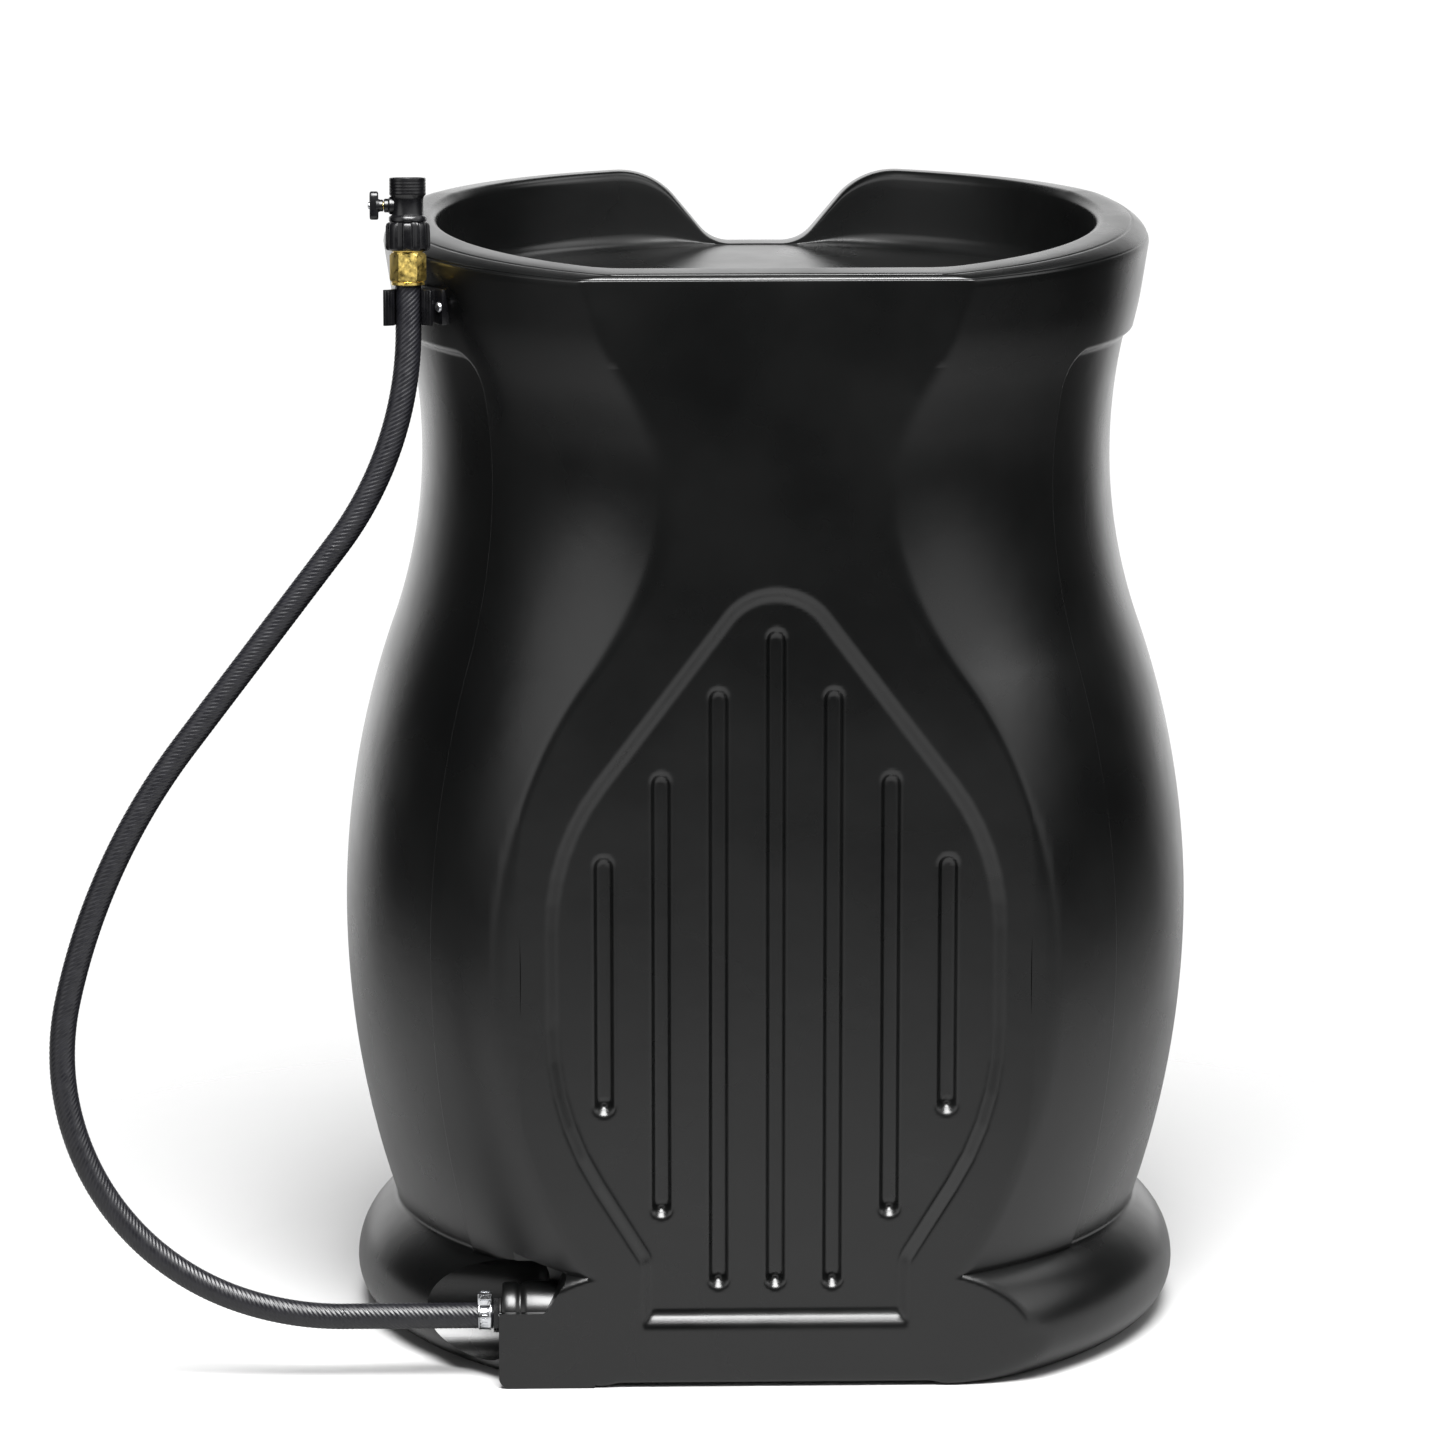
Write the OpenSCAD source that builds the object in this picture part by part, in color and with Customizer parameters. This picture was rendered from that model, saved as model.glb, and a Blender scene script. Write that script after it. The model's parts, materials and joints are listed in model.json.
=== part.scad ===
// Flat-backed urn rain barrel with a clipped hose and a shut-off valve.
// Origin: on the barrel's axis at floor level. +Z up, the flat back faces -Y, the hose is on -X.

/* [Barrel] */
// Height of the rim above the floor
rim_h = 838; // [820:1:850]
// Largest radius of the belly
belly_r = 317.5; // [312:0.5:320]
// Smallest radius of the neck
neck_r = 257.2; // [254:0.1:259]
// Distance from the axis to the flat back
back_d = 248; // [246:0.5:250]
// Wall thickness of the moulding
wall = 4; // [3:0.5:4.5]
// Depth of the basin below the rim
basin_depth = 60; // [55:1:64]
// Radius of the basin wall
basin_r = 245; // [243:0.5:247]
// How far the rear frame stands proud of the body
frame_step = 2.5; // [1.5:0.5:3]
// Half angle of the rear frame, each side of the back
frame_angle = 51.7; // [50:0.1:53]

/* [Back panel] */
// Depth of the panel recess
panel_depth = 6.5; // [4:0.5:7]
// Depth of each groove below the panel
groove_depth = 5; // [3:0.5:6]
// Width of a groove
groove_w = 14; // [12:0.5:16]
// Spacing of the grooves
groove_pitch = 41.5; // [40:0.5:42]

/* [Outlet] */
// Height of the outlet above the floor
outlet_z = 47; // [46:0.5:49]
// Distance of the outlet behind the axis
outlet_d = 217; // [216:0.5:218]
// Outer radius of the moulded outlet boss
boss_r = 25; // [24:0.5:26]
// Radius of the round pocket that clears the hose
pocket_r = 37; // [36.5:0.5:38]

/* [Hose] */
// Outside radius of the hose
hose_r = 9.5; // [9.3:0.1:9.7]
// Bore radius of the hose
hose_bore_r = 6.35; // [6.3:0.05:6.5]
// Distance of the hose column to the left of the axis
column_d = 263; // [262.5:0.1:264]
// Distance of the hose column behind the axis, at the clip
column_back = 150; // [149:0.1:151]

/* [Valve] */
// Radius of the hose thread on the valve's mouth
thread_r = 13.22; // [13.2:0.01:13.24]
// Radius of the valve ball
ball_r = 8; // [7.8:0.1:8.1]
// Radius of the water way through the ball
way_r = 5; // [4.5:0.1:5.5]

/* [Inlet screen] */
// Radius of the inlet hole in the deck
inlet_r = 70; // [66:1:74]
// Depth of the debris basket
basket_depth = 26; // [20:1:30]

/* [Hidden] */
$fn = 64;

// Vertical stations of the barrel's outline
deck_z = rim_h - basin_depth;
belly_z = 310;
neck_z = 660;
body_start_z = 86;
collar_z = 748;
collar_r = 274.5;
ledge_low_z = 746;
ledge_high = [274.9, 753];

// Foot ring: a lower lobe that touches the floor and an upper lobe that carries the body
foot_lobe_r = 14.5;
foot_lobe_c = [298, foot_lobe_r];
foot_cap_r = 24;
foot_cap_c = [284, 56];
foot_channel = 12;
foot_pad_r = 225;
foot_contact_r = 274.3;

// Rim crown and the hollow rail behind the basin
crown_r = 24;
crown_c = [260.5, rim_h - crown_r];
rail_w = 34;

// The top of the rim slopes down from here to the flat back
rail_slope_y = 90;
rail_slope = 3.2;

// Body arcs: lower belly, upper belly and neck, each tangent to the next
belly_low_arc_r = 704;
belly_high_arc_r = 650;
arc_rise = neck_z - belly_z;
arc_in = belly_r - neck_r;
neck_arc_r = (arc_rise * arc_rise + arc_in * arc_in) / (2 * arc_in) - belly_high_arc_r;
arc_tilt = asin(arc_rise / (belly_high_arc_r + neck_arc_r));
collar_arc_r = 265;
collar_arc_tilt = 19.3;

// Shallow arch in the bottom edge of the back
arch_w = 240;
arch_h = 3;

// Leaf panel: heights and half widths of its corners, and their fillet radii
leaf_tip_z = 616;
leaf_tip_fillet = 41;
leaf_half_w = 161;
leaf_shoulder_z = 404;
leaf_shoulder_fillet = 179;
leaf_hip_z = 218;
leaf_hip_fillet = 135;
leaf_stem_half_w = 95.5;
leaf_stem_z = 104;
leaf_stem_fillet = 15;
leaf_foot_z = 52;
leaf_foot_fillet = 6;

// Lower and upper ends of the grooves, from the middle one outwards
groove_low = [76.5, 76.5, 131, 208];
groove_high = [564, 521, 459, 398];

// Overflow notch: half widths at the rim and at the sill, and the fillets of its S-shaped flanks
notch_rim_half_w = 88;
notch_rim_fillet = 38;
notch_sill_half_w = 34;
notch_sill_fillet = 30;
notch_sill_rise = 1;

// Cut above the fin that opens the outlet pocket to the back
pocket_y = -213;
pocket_z = 50;
pocket_depth = 36;
pocket_tip = [-146, 84.6];
pocket_corner_x = -168;
pocket_top = [-200, 95];

// Outlet stations along X
boss_face_x = -200;
pocket_end_x = -165;
insert_r = 12;
insert_bore_r = 9;
insert_len = 26;
barb_r = 6.3;
barb_tooth = 0.6;
barb_len = 5;
barb_pitch = 7;
oring_t = 2.4;
fitting_hex_t = 3.6;
fitting_hex_r = 13;
barb_tip_x = -228;
hose_start_x = -206.3;
clamp_x = -217;
clamp_w = 9;
band_t = 0.9;
worm_r = 2.6;
worm_gap = 0.6;
worm_len = 15;
worm_head_z = 7;
worm_head_r = 4.2;
worm_head_t = 3.5;
slot_w = 1;
slot_depth = 0.8;
housing_wall = 1.2;
housing_lap = 0.8;
housing_len = 12;
fin_end_x = -202;
fin_w = 60;
fin_top_z = 57;
fin_t = 5;

// Hose plane: it holds the outlet axis and the clip, and leans towards the barrel
clip_rise = 738;
hose_lean = asin((outlet_d - column_back) / clip_rise);

// Runs of the hose after its first straight: [length, bend radius, clockwise turn], radius 0 is straight
hose_runs = [[0, 227, 20.5], [0, 191, 82], [0, 479, 25], [182, 0, 0], [0, 260, -37.5]];

joint_gap = 0.1;
joint_band = 0.6;
joint_proud = 0.04;

// Stations up the hose column, measured in the hose plane from the outlet axis
clip_low = 727;
clip_high = 753;
barb_low = 735;
hose_top = 756;
hex_low = 758.5;
hex_top = 779;
thread_top = 792;
tail_flange_low = 794.5;
tail_flange_top = 797;
nut_low = 780.6;
nut_lip_low = 797.5;
nut_high = 801;
valve_low = 801.3;
valve_shoulder = 805.5;
thread_low = 820.5;
valve_mouth = 825;
valve_high = 833;
ball_s = 813;

// Radii on the hose column
coupling_bore_r = 4.6;
flange_r = 12;
hex_r = 13.2;
hex_chamfer = 6;
hex_core_r = 10.6;
male_r = 13.2;
washer_r = male_r - 0.6;
nut_r = 14.9;
nut_lobe_r = 1.8;
nut_lobe_c = 14;
nut_lobes = 8;
nut_lobe_end = 2;
tail_flange_r = 12.8;
tail_r = 9.5;
valve_r = 13.6;
valve_neck_r = 11.3;
mouth_r = 10;
neck_way_r = 6.5;
seat_t = 3;
seat_way_r = 5.5;
chamber_r = ball_r + 0.3;
// Radial gap of a running fit
run_gap = 0.05;

// Handle stations along X, from the hose column
stem_r = 2.9;
stem_gap = 0.2;
stem_groove = 0.8;
stem_seal_r = 0.5;
gland_r = 5;
gland_x = -17;
handle_hub_x = -17.4;
handle_near_x = -21;
handle_far_x = -27.3;
handle_h = 20.5;
handle_w = 8;
tang_t = 2.4;
tang_x = 5.9;
tang_len = 4;
handle_hub_r = 4.2;
oring_x = 12;
screw_tip_x = 21;
handle_screw_r = 1.3;
handle_screw_head = 1.5;

// Clip on the collar
clip_t = 2.8;
clip_arm = 8;
clip_lip = 5.5;
clip_flare = 40;
clip_web_w = 12;
saddle_x = 18.5;
saddle_gap = 0.15;
saddle_edge = 5;
clip_screw_y = 12.5;
clip_screw_r = 1.8;
clip_screw_head = 2;
clip_screw_len = 12;

// Debris basket
skirt_r = inlet_r - 1.5;
skirt_t = 2.5;
flange_w = 12;
flange_t = 3;
spoke_rim_w = 6;
spoke_w = 4;
spoke_t = 2;
mesh_pitch = 9;
mesh_hole = 6;
mesh_t = 1;
mesh_edge = 7;

function arc(c, r, a0, a1, n) = [for (i = [0:n]) let (a = a0 + (a1 - a0) * i / n) c + r * [cos(a), sin(a)]];

// Unit vector from p to q
function dir(p, q) = (q - p) / norm(q - p);

// Arc that rounds the corner b between a and c
function round_corner(a, b, c, r) =
    let (u = dir(b, a), v = dir(b, c), half = acos(u * v) / 2, m = (u + v) / norm(u + v),
        centre = b + m * r / sin(half), p = b + u * r / tan(half), q = b + v * r / tan(half),
        a0 = atan2(p[1] - centre[1], p[0] - centre[0]), raw = atan2(q[1] - centre[1], q[0] - centre[0]) - a0,
        sweep = raw > 180 ? raw - 360 : raw < -180 ? raw + 360 : raw)
    arc(centre, r, a0, a0 + sweep, max(2, ceil(abs(sweep) / 8)));

// Closed outline through corners, each [[x, y], fillet radius]
function round_outline(corners) = let (n = len(corners))
    [for (i = [0:n - 1]) each
        round_corner(corners[(i + n - 1) % n][0], corners[i][0], corners[(i + 1) % n][0], corners[i][1])];

// Half outline of the body from the foot to the neck, w inside the outer surface
function body_low(w) = concat(
    arc([belly_r - belly_low_arc_r, belly_z], belly_low_arc_r - w,
        -asin((belly_z - body_start_z) / belly_low_arc_r), 0, 12),
    arc([belly_r - belly_high_arc_r, belly_z], belly_high_arc_r - w, arc_tilt / 8, arc_tilt, 9),
    arc([neck_r + neck_arc_r, neck_z], neck_arc_r + w, 180 + arc_tilt * 7 / 8, 180, 8));

// Neck to collar, with a ledge in front and without one in the rear frame
function neck_front(w) = concat(
    arc([neck_r + neck_arc_r, neck_z], neck_arc_r + w, 178,
        180 - asin((ledge_low_z - neck_z) / neck_arc_r), 5),
    [ledge_high + [-w, w / 2]]);
function neck_rear(w) = arc([neck_r + frame_step + collar_arc_r, neck_z], collar_arc_r + w, 177,
    180 - collar_arc_tilt, 6);

// Underside with a ring channel, and foot ring, w inside the outer surface
function foot(w) = let (slope = 0.4 * w) concat(
    [[0, w], [foot_pad_r - slope, w], [foot_pad_r + foot_channel - slope, foot_channel + w],
        [foot_contact_r - foot_channel + slope, foot_channel + w], [foot_contact_r + slope, w]],
    arc(foot_lobe_c, foot_lobe_r - w, -90, 50, 12),
    arc(foot_cap_c, foot_cap_r - w, -35, 95, 12));

function crown(w) = arc(crown_c, crown_r - w, 0, 90, 9);

// Cuts a w-inset body flat at the back and slopes the rear part of its top
module cut_rear(w) {
    difference() {
        children();
        translate([-rim_h, w - back_d - rim_h, -50]) cube([2 * rim_h, rim_h, 2 * rim_h]);
        translate([0, rail_slope_y, rim_h - w]) rotate([rail_slope, 0, 0])
            translate([-rim_h, -2 * rim_h, 0]) cube([2 * rim_h, 2 * rim_h, rim_h]);
    }
}

// Outline of the leaf-shaped panel, grown by m; its slanted edges need more than m at their ends
function leaf(m) = let (half = [
        [[leaf_half_w + m, leaf_shoulder_z + 0.4 * m], leaf_shoulder_fillet + m],
        [[leaf_half_w + m, leaf_hip_z - 0.3 * m], leaf_hip_fillet + m],
        [[leaf_stem_half_w + m, leaf_stem_z], leaf_stem_fillet],
        [[leaf_stem_half_w + m, leaf_foot_z - m], leaf_foot_fillet + m]])
    round_outline(concat([[[0, leaf_tip_z + 1.25 * m], leaf_tip_fillet + m]], half,
        [for (i = [3:-1:0]) [[-half[i][0][0], half[i][0][1]], half[i][1]]]));

// Prism that reaches depth behind the flat back, from a flat outline in X and Z
module back_prism(depth) {
    translate([0, depth - back_d, 0]) rotate([90, 0, 0]) linear_extrude(depth + 20) children();
}

// One groove outline at column i, grown by m
module groove_outline(i, m) {
    r = groove_w / 2 + m;
    x = i * groove_pitch;
    low = groove_low[abs(i)] + groove_w / 2;
    high = groove_high[abs(i)] - groove_w / 2;
    translate([x - r, low]) square([2 * r, high - low]);
    translate([x, low]) circle(r);
    translate([x, high]) circle(r);
}

module grooves(m) {
    for (i = [-3:3]) back_prism(panel_depth + groove_depth + m) groove_outline(i, m);
}

// Overflow notch through the front of the rim, grown by m; it reaches well above the rim
module overflow_notch(m) {
    top = rim_h + 1;
    half = [[[notch_sill_half_w + 1.3 * m, deck_z + notch_sill_rise - m], notch_sill_fillet],
        [[notch_rim_half_w + m, top], notch_rim_fillet], [[180, top], 5], [[180, top + 40], 5]];
    outline = round_outline(concat([for (i = [3:-1:0]) [[-half[i][0][0], half[i][0][1]], half[i][1]]], half));
    translate([0, back_d + 100, 0]) rotate([90, 0, 0]) linear_extrude(200) polygon(outline);
}

// Space that clears the hose and its clamp behind the fin, grown by m
module pocket(m) {
    translate([-400, pocket_y, pocket_z]) rotate([0, 90, 0])
        cylinder(r = pocket_r + m, h = 400 + pocket_end_x + m);
    translate([0, pocket_depth + m - back_d, 0]) rotate([90, 0, 0]) linear_extrude(60 + m) polygon([
        [-400, fin_top_z - m], [pocket_corner_x + m, fin_top_z - m], [pocket_tip[0] + m, pocket_tip[1]],
        [pocket_top[0], pocket_top[1] + m], [-400, pocket_top[1] + 5 + m]]);
}

// Solid of the body without its basin, w inside the outer surface
module body_solid(w, ledge) {
    cut_rear(w) rotate_extrude($fn = 128) polygon(concat(foot(w), body_low(ledge ? w : w - frame_step),
        ledge ? neck_front(w) : neck_rear(w), crown(w), [[0, rim_h - w]]));
}

// Basin above the deck, grown by m
module basin(m) {
    difference() {
        translate([0, 0, deck_z - m]) cylinder(r = basin_r + m, h = basin_depth + 20 + m, $fn = 128);
        translate([-300, -300 - back_d + rail_w - m, 0]) cube([600, 300, rim_h + 50]);
    }
}

// The body in front of the rear frame lies a step lower
module front_recess() {
    rotate([0, 0, frame_angle - 90]) rotate_extrude(angle = 360 - 2 * frame_angle, $fn = 128)
        polygon(concat(body_low(0), neck_front(0), [[360, ledge_high[1]], [360, body_start_z]]));
}

module barrel_cavity() {
    difference() {
        body_solid(wall, true);
        basin(wall);
        back_prism(panel_depth + wall) polygon(leaf(wall));
        grooves(wall);
        overflow_notch(wall);
        pocket(wall);
    }
}

// Cylinder along the outlet axis between two stations
module outlet_cylinder(r, x0, x1) {
    translate([min(x0, x1), -outlet_d, outlet_z]) rotate([0, 90, 0]) cylinder(r = r, h = abs(x1 - x0));
}

module outlet_boss() {
    outlet_cylinder(boss_r, boss_face_x, pocket_end_x + wall);
    translate([fin_end_x, -back_d, 0]) cube([fin_w, fin_t, fin_top_z]);
}

// Places children at the middle of the clip, +X pointing at the barrel's axis
module at_clip() {
    s = (clip_low + clip_high) / 2;
    y = s * sin(hose_lean) - outlet_d;
    translate([-column_d, y, outlet_z + s * cos(hose_lean)]) rotate([0, 0, atan2(-y, column_d)]) children();
}

// Both clip screws' axes, pointing into the collar
module at_clip_screws() {
    for (side = [-1, 1]) at_clip() translate([0, side * clip_screw_y, 0]) rotate([0, 90, 0]) children();
}

module barrel_shell() {
    color("#17181a") difference() {
        union() {
            difference() {
                body_solid(0, false);
                front_recess();
                basin(0);
                back_prism(panel_depth) polygon(leaf(0));
                grooves(0);
                overflow_notch(0);
                pocket(0);
                barrel_cavity();
                translate([0, 0, deck_z - 2 * wall]) cylinder(r = inlet_r, h = 4 * wall);
                translate([-arch_w / 2, -back_d - 1, -1]) cube([arch_w, 30, arch_h + 1]);
            }
            outlet_boss();
        }
        outlet_cylinder(insert_r, boss_face_x - 1, boss_face_x + insert_len);
        outlet_cylinder(insert_bore_r, boss_face_x, pocket_end_x + 2 * wall);
        at_clip_screws() cylinder(r = clip_screw_r, h = 40);
    }
}

module outlet_insert() {
    color("goldenrod") difference() {
        outlet_cylinder(insert_r, boss_face_x, boss_face_x + insert_len);
        outlet_cylinder(insert_bore_r, boss_face_x - 1, boss_face_x + insert_len + 1);
    }
}

module outlet_oring() {
    color("#101010") translate([boss_face_x - oring_t / 2, -outlet_d, outlet_z]) rotate([0, 90, 0])
        rotate_extrude() translate([insert_bore_r + oring_t, 0]) circle(oring_t / 2);
}

module outlet_fitting() {
    face_x = boss_face_x - oring_t;
    color("#1b1c1e") difference() {
        union() {
            outlet_cylinder(insert_bore_r, face_x, boss_face_x + insert_len - 4);
            translate([face_x - fitting_hex_t, -outlet_d, outlet_z]) rotate([0, 90, 0])
                cylinder(r = fitting_hex_r, h = fitting_hex_t, $fn = 6);
            outlet_cylinder(barb_r - barb_tooth, barb_tip_x, face_x - fitting_hex_t);
            for (i = [0:2]) translate([barb_tip_x + barb_pitch * i, -outlet_d, outlet_z]) rotate([0, 90, 0])
                cylinder(r1 = barb_r - barb_tooth, r2 = barb_r, h = barb_len);
        }
        outlet_cylinder(coupling_bore_r, barb_tip_x - 1, boss_face_x + insert_len);
    }
}

// Plan of the clip: a U round the hose, open to the back, with flared lips
module clip_plan(gap) {
    outer = gap + clip_t;
    difference() {
        union() {
            circle(outer);
            translate([-outer + 0.2, -clip_arm]) square([2 * outer - 0.4, clip_arm]);
            for (side = [-1, 1])
                translate([side * (outer - clip_t / 2 - 0.2), -clip_arm]) rotate(side * clip_flare)
                    translate([-clip_t / 2, -clip_lip]) square([clip_t, clip_lip + 1]);
        }
        circle(gap);
        translate([-gap - 0.3, -clip_arm - 1]) square([2 * gap + 0.6, clip_arm + 1]);
        translate([-gap - 0.3, -clip_arm - clip_lip - 2]) square([2 * gap + 0.6, clip_lip + 2]);
    }
}

// The collar's outer cone, grown by m
module collar_cone(m) {
    translate([0, 0, collar_z]) cylinder(r1 = collar_r + m, r2 = crown_c[0] + crown_r + m,
        h = crown_c[1] - collar_z, $fn = 128);
}

// Clip with a web to a saddle plate that is screwed to the collar
module hose_clip() {
    h = clip_high - clip_low;
    color("#141416") difference() {
        union() {
            on_column(clip_low) linear_extrude(h) clip_plan(hose_r + joint_gap);
            at_clip() translate([hose_r + 1, -clip_web_w / 2, -h / 2]) cube([12, clip_web_w, h]);
            at_clip() translate([saddle_x, -clip_screw_y - saddle_edge, -h / 2])
                cube([8, 2 * (clip_screw_y + saddle_edge), h]);
        }
        on_column(clip_low - 20) cylinder(r = hose_r + joint_gap, h = h + 40);
        collar_cone(saddle_gap);
        at_clip_screws() cylinder(r = clip_screw_r, h = 40);
    }
}

module clip_screws() {
    color("#8d9094") at_clip_screws() {
        translate([0, 0, saddle_x - clip_screw_head]) cylinder(r = 2 * clip_screw_r, h = clip_screw_head);
        translate([0, 0, saddle_x]) cylinder(r = clip_screw_r, h = clip_screw_len);
    }
}

// Debris basket: flange on the deck, skirt through the hole, and a spoked floor
module screen_frame() {
    floor_z = deck_z - basket_depth;
    color("#202224") difference() {
        union() {
            translate([0, 0, deck_z]) cylinder(r = inlet_r + flange_w, h = flange_t);
            translate([0, 0, floor_z]) cylinder(r = skirt_r, h = basket_depth + 1);
        }
        translate([0, 0, floor_z + spoke_t]) cylinder(r = skirt_r - skirt_t, h = basket_depth + 5);
        difference() {
            translate([0, 0, floor_z - 1]) cylinder(r = skirt_r - spoke_rim_w, h = spoke_t + 3);
            for (a = [0, 60, 120]) rotate([0, 0, a]) translate([-inlet_r, -spoke_w / 2, floor_z - 2])
                cube([2 * inlet_r, spoke_w, spoke_t + 6]);
        }
    }
}

module screen_mesh() {
    r = skirt_r - skirt_t - 0.1;
    half = floor(r / mesh_pitch);
    color("#9fa3a6") translate([0, 0, deck_z - basket_depth + spoke_t]) linear_extrude(mesh_t) difference() {
        circle(r);
        for (i = [-half:half], j = [-half:half])
            if (norm([i, j]) * mesh_pitch < r - mesh_edge)
                translate([i, j] * mesh_pitch) square(mesh_hole, center = true);
    }
}

// Places children in the hose plane: X as on the barrel, Z up the plane from the outlet axis
module hose_plane() {
    translate([0, -outlet_d, outlet_z]) rotate([-hose_lean, 0, 0]) children();
}

// Places children on the hose column at station s
module on_column(s) {
    hose_plane() translate([-column_d, 0, s]) children();
}

// Travel of one run of the hose that starts with heading h
function travel(run, h) = run[1] == 0 ? run[0] * [cos(h), sin(h)]
    : sign(run[2]) * run[1] * [sin(h) - sin(h - run[2]), cos(h - run[2]) - cos(h)];
function heading(i) = i == 0 ? 180 : heading(i - 1) - hose_runs[i - 1][2];
function reach(i) = i == 0 ? [0, 0] : reach(i - 1) + travel(hose_runs[i - 1], heading(i - 1));
first_straight = hose_start_x + column_d + reach(len(hose_runs))[0];
function run_start(i) = [hose_start_x - first_straight, 0] + reach(i);
function dir_of(i) = [cos(heading(i)), sin(heading(i))];

// Straight tube in the hose plane from p along heading h
module tube_line(p, h, length, r, bore) {
    translate([p[0], 0, p[1]]) rotate([0, 90 - h, 0]) difference() {
        cylinder(r = r, h = length, $fn = 48);
        translate([0, 0, -1]) cylinder(r = bore, h = length + 2, $fn = 48);
    }
}

// Bent tube in the hose plane, trimmed a little at both ends
module tube_bend(p, h, run) {
    side = sign(run[2]);
    centre = p + side * run[1] * [sin(h), -cos(h)];
    trim = joint_gap / run[1] * 180 / PI;
    from = (side > 0 ? h + 90 - run[2] : h - 90) + trim;
    translate([centre[0], 0, centre[1]]) rotate([90, 0, 0]) rotate([0, 0, from])
        rotate_extrude(angle = abs(run[2]) - 2 * trim, $fn = 96) translate([run[1], 0]) difference() {
            circle(hose_r, $fn = 48);
            circle(hose_bore_r, $fn = 48);
        }
}

// Straight run that stops a little short of its neighbours
module hose_straight(p, h, length) {
    tube_line(p + joint_gap * [cos(h), sin(h)], h, length - 2 * joint_gap, hose_r, hose_bore_r);
}

// Runs are joined by short bands that stand a hair proud inside and out
module hose_joint(i) {
    tube_line(run_start(i) - joint_band * dir_of(i), heading(i), 2 * joint_band, hose_r + joint_proud,
        hose_bore_r - joint_proud);
}

module hose() {
    n = len(hose_runs);
    color("#1a1b1e") hose_plane() {
        hose_straight([hose_start_x, 0], 180, first_straight);
        for (i = [0:n - 1]) {
            if (hose_runs[i][1] == 0) hose_straight(run_start(i), heading(i), hose_runs[i][0]);
            else tube_bend(run_start(i), heading(i), hose_runs[i]);
        }
        hose_straight(run_start(n), heading(n), hose_top - run_start(n)[1]);
        for (i = [0:n]) hose_joint(i);
    }
}

module clamp_band() {
    color("#c9ccd0") difference() {
        outlet_cylinder(hose_r + band_t, clamp_x, clamp_x + clamp_w);
        outlet_cylinder(hose_r, clamp_x - 1, clamp_x + clamp_w + 1);
    }
}

// Places children on the clamp's worm axis, +Z pointing away from the flat back
module on_worm() {
    hose_plane() translate([clamp_x + clamp_w / 2, 0, hose_r + band_t + worm_r + worm_gap])
        rotate([-90, 0, 0]) children();
}

module clamp_housing() {
    side = 2 * (worm_r + housing_wall);
    width = clamp_w + 2 * housing_lap;
    color("#b9bcc0") difference() {
        on_worm() translate([-width / 2, -side / 2, -housing_len / 2]) cube([width, side + 2, housing_len]);
        on_worm() cylinder(r = worm_r + run_gap, h = 40, center = true);
        outlet_cylinder(hose_r + band_t, clamp_x - 3, clamp_x + clamp_w + 3);
    }
}

module clamp_screw() {
    color("#d4d6d9") on_worm() difference() {
        union() {
            translate([0, 0, -worm_head_z]) cylinder(r = worm_r, h = worm_len);
            translate([0, 0, -worm_head_z - worm_head_t]) cylinder(r = worm_head_r, h = worm_head_t, $fn = 6);
        }
        translate([-5, -slot_w / 2, -worm_head_z - worm_head_t - 1]) cube([10, slot_w, slot_depth + 1]);
    }
}

module column_ring(r, bore, low, high) {
    on_column(low) difference() {
        cylinder(r = r, h = high - low);
        translate([0, 0, -1]) cylinder(r = bore, h = high - low + 2);
    }
}

module brass_coupling() {
    color("#c8a03c") difference() {
        union() {
            on_column(barb_low) cylinder(r = barb_r, h = hose_top - barb_low + 1);
            on_column(hose_top) cylinder(r = flange_r, h = hex_low - hose_top);
            on_column(hex_low) intersection() {
                cylinder(r = hex_r, h = hex_top - hex_low, $fn = 6);
                cylinder(r1 = hex_r + hex_chamfer, r2 = hex_r - 1, h = hex_top - hex_low);
            }
            on_column(hex_low) cylinder(r = hex_core_r, h = thread_top - hex_low);
            on_column(hex_top) cylinder(r = male_r, h = thread_top - hex_top);
        }
        on_column(barb_low - 1) cylinder(r = coupling_bore_r, h = 100);
    }
}

module coupling_washer() {
    color("#111111") column_ring(washer_r, neck_way_r, thread_top, tail_flange_low);
}

module swivel_nut() {
    color("#18191b") difference() {
        union() {
            on_column(nut_low) cylinder(r = nut_r, h = nut_high - nut_low);
            for (i = [0:nut_lobes - 1]) on_column(nut_low + nut_lobe_end) rotate([0, 0, i * 360 / nut_lobes])
                translate([nut_lobe_c, 0, 0])
                    cylinder(r = nut_lobe_r, h = nut_high - nut_low - 2 * nut_lobe_end);
        }
        on_column(nut_low - 1) cylinder(r = male_r + run_gap, h = nut_lip_low - nut_low + 1);
        on_column(nut_low) cylinder(r = tail_r + run_gap, h = 40);
    }
}

module valve_tail() {
    color("#1e1f21") {
        difference() {
            union() {
                on_column(tail_flange_low) cylinder(r = tail_flange_r, h = tail_flange_top - tail_flange_low);
                on_column(tail_flange_low) cylinder(r = tail_r, h = ball_s - ball_r - tail_flange_low);
            }
            on_column(tail_flange_low - 1) cylinder(r = way_r, h = 40);
        }
    }
}

// Places children on the valve stem's axis, +Z pointing left, away from the barrel
module on_stem() {
    on_column(ball_s) rotate([0, -90, 0]) children();
}

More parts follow.
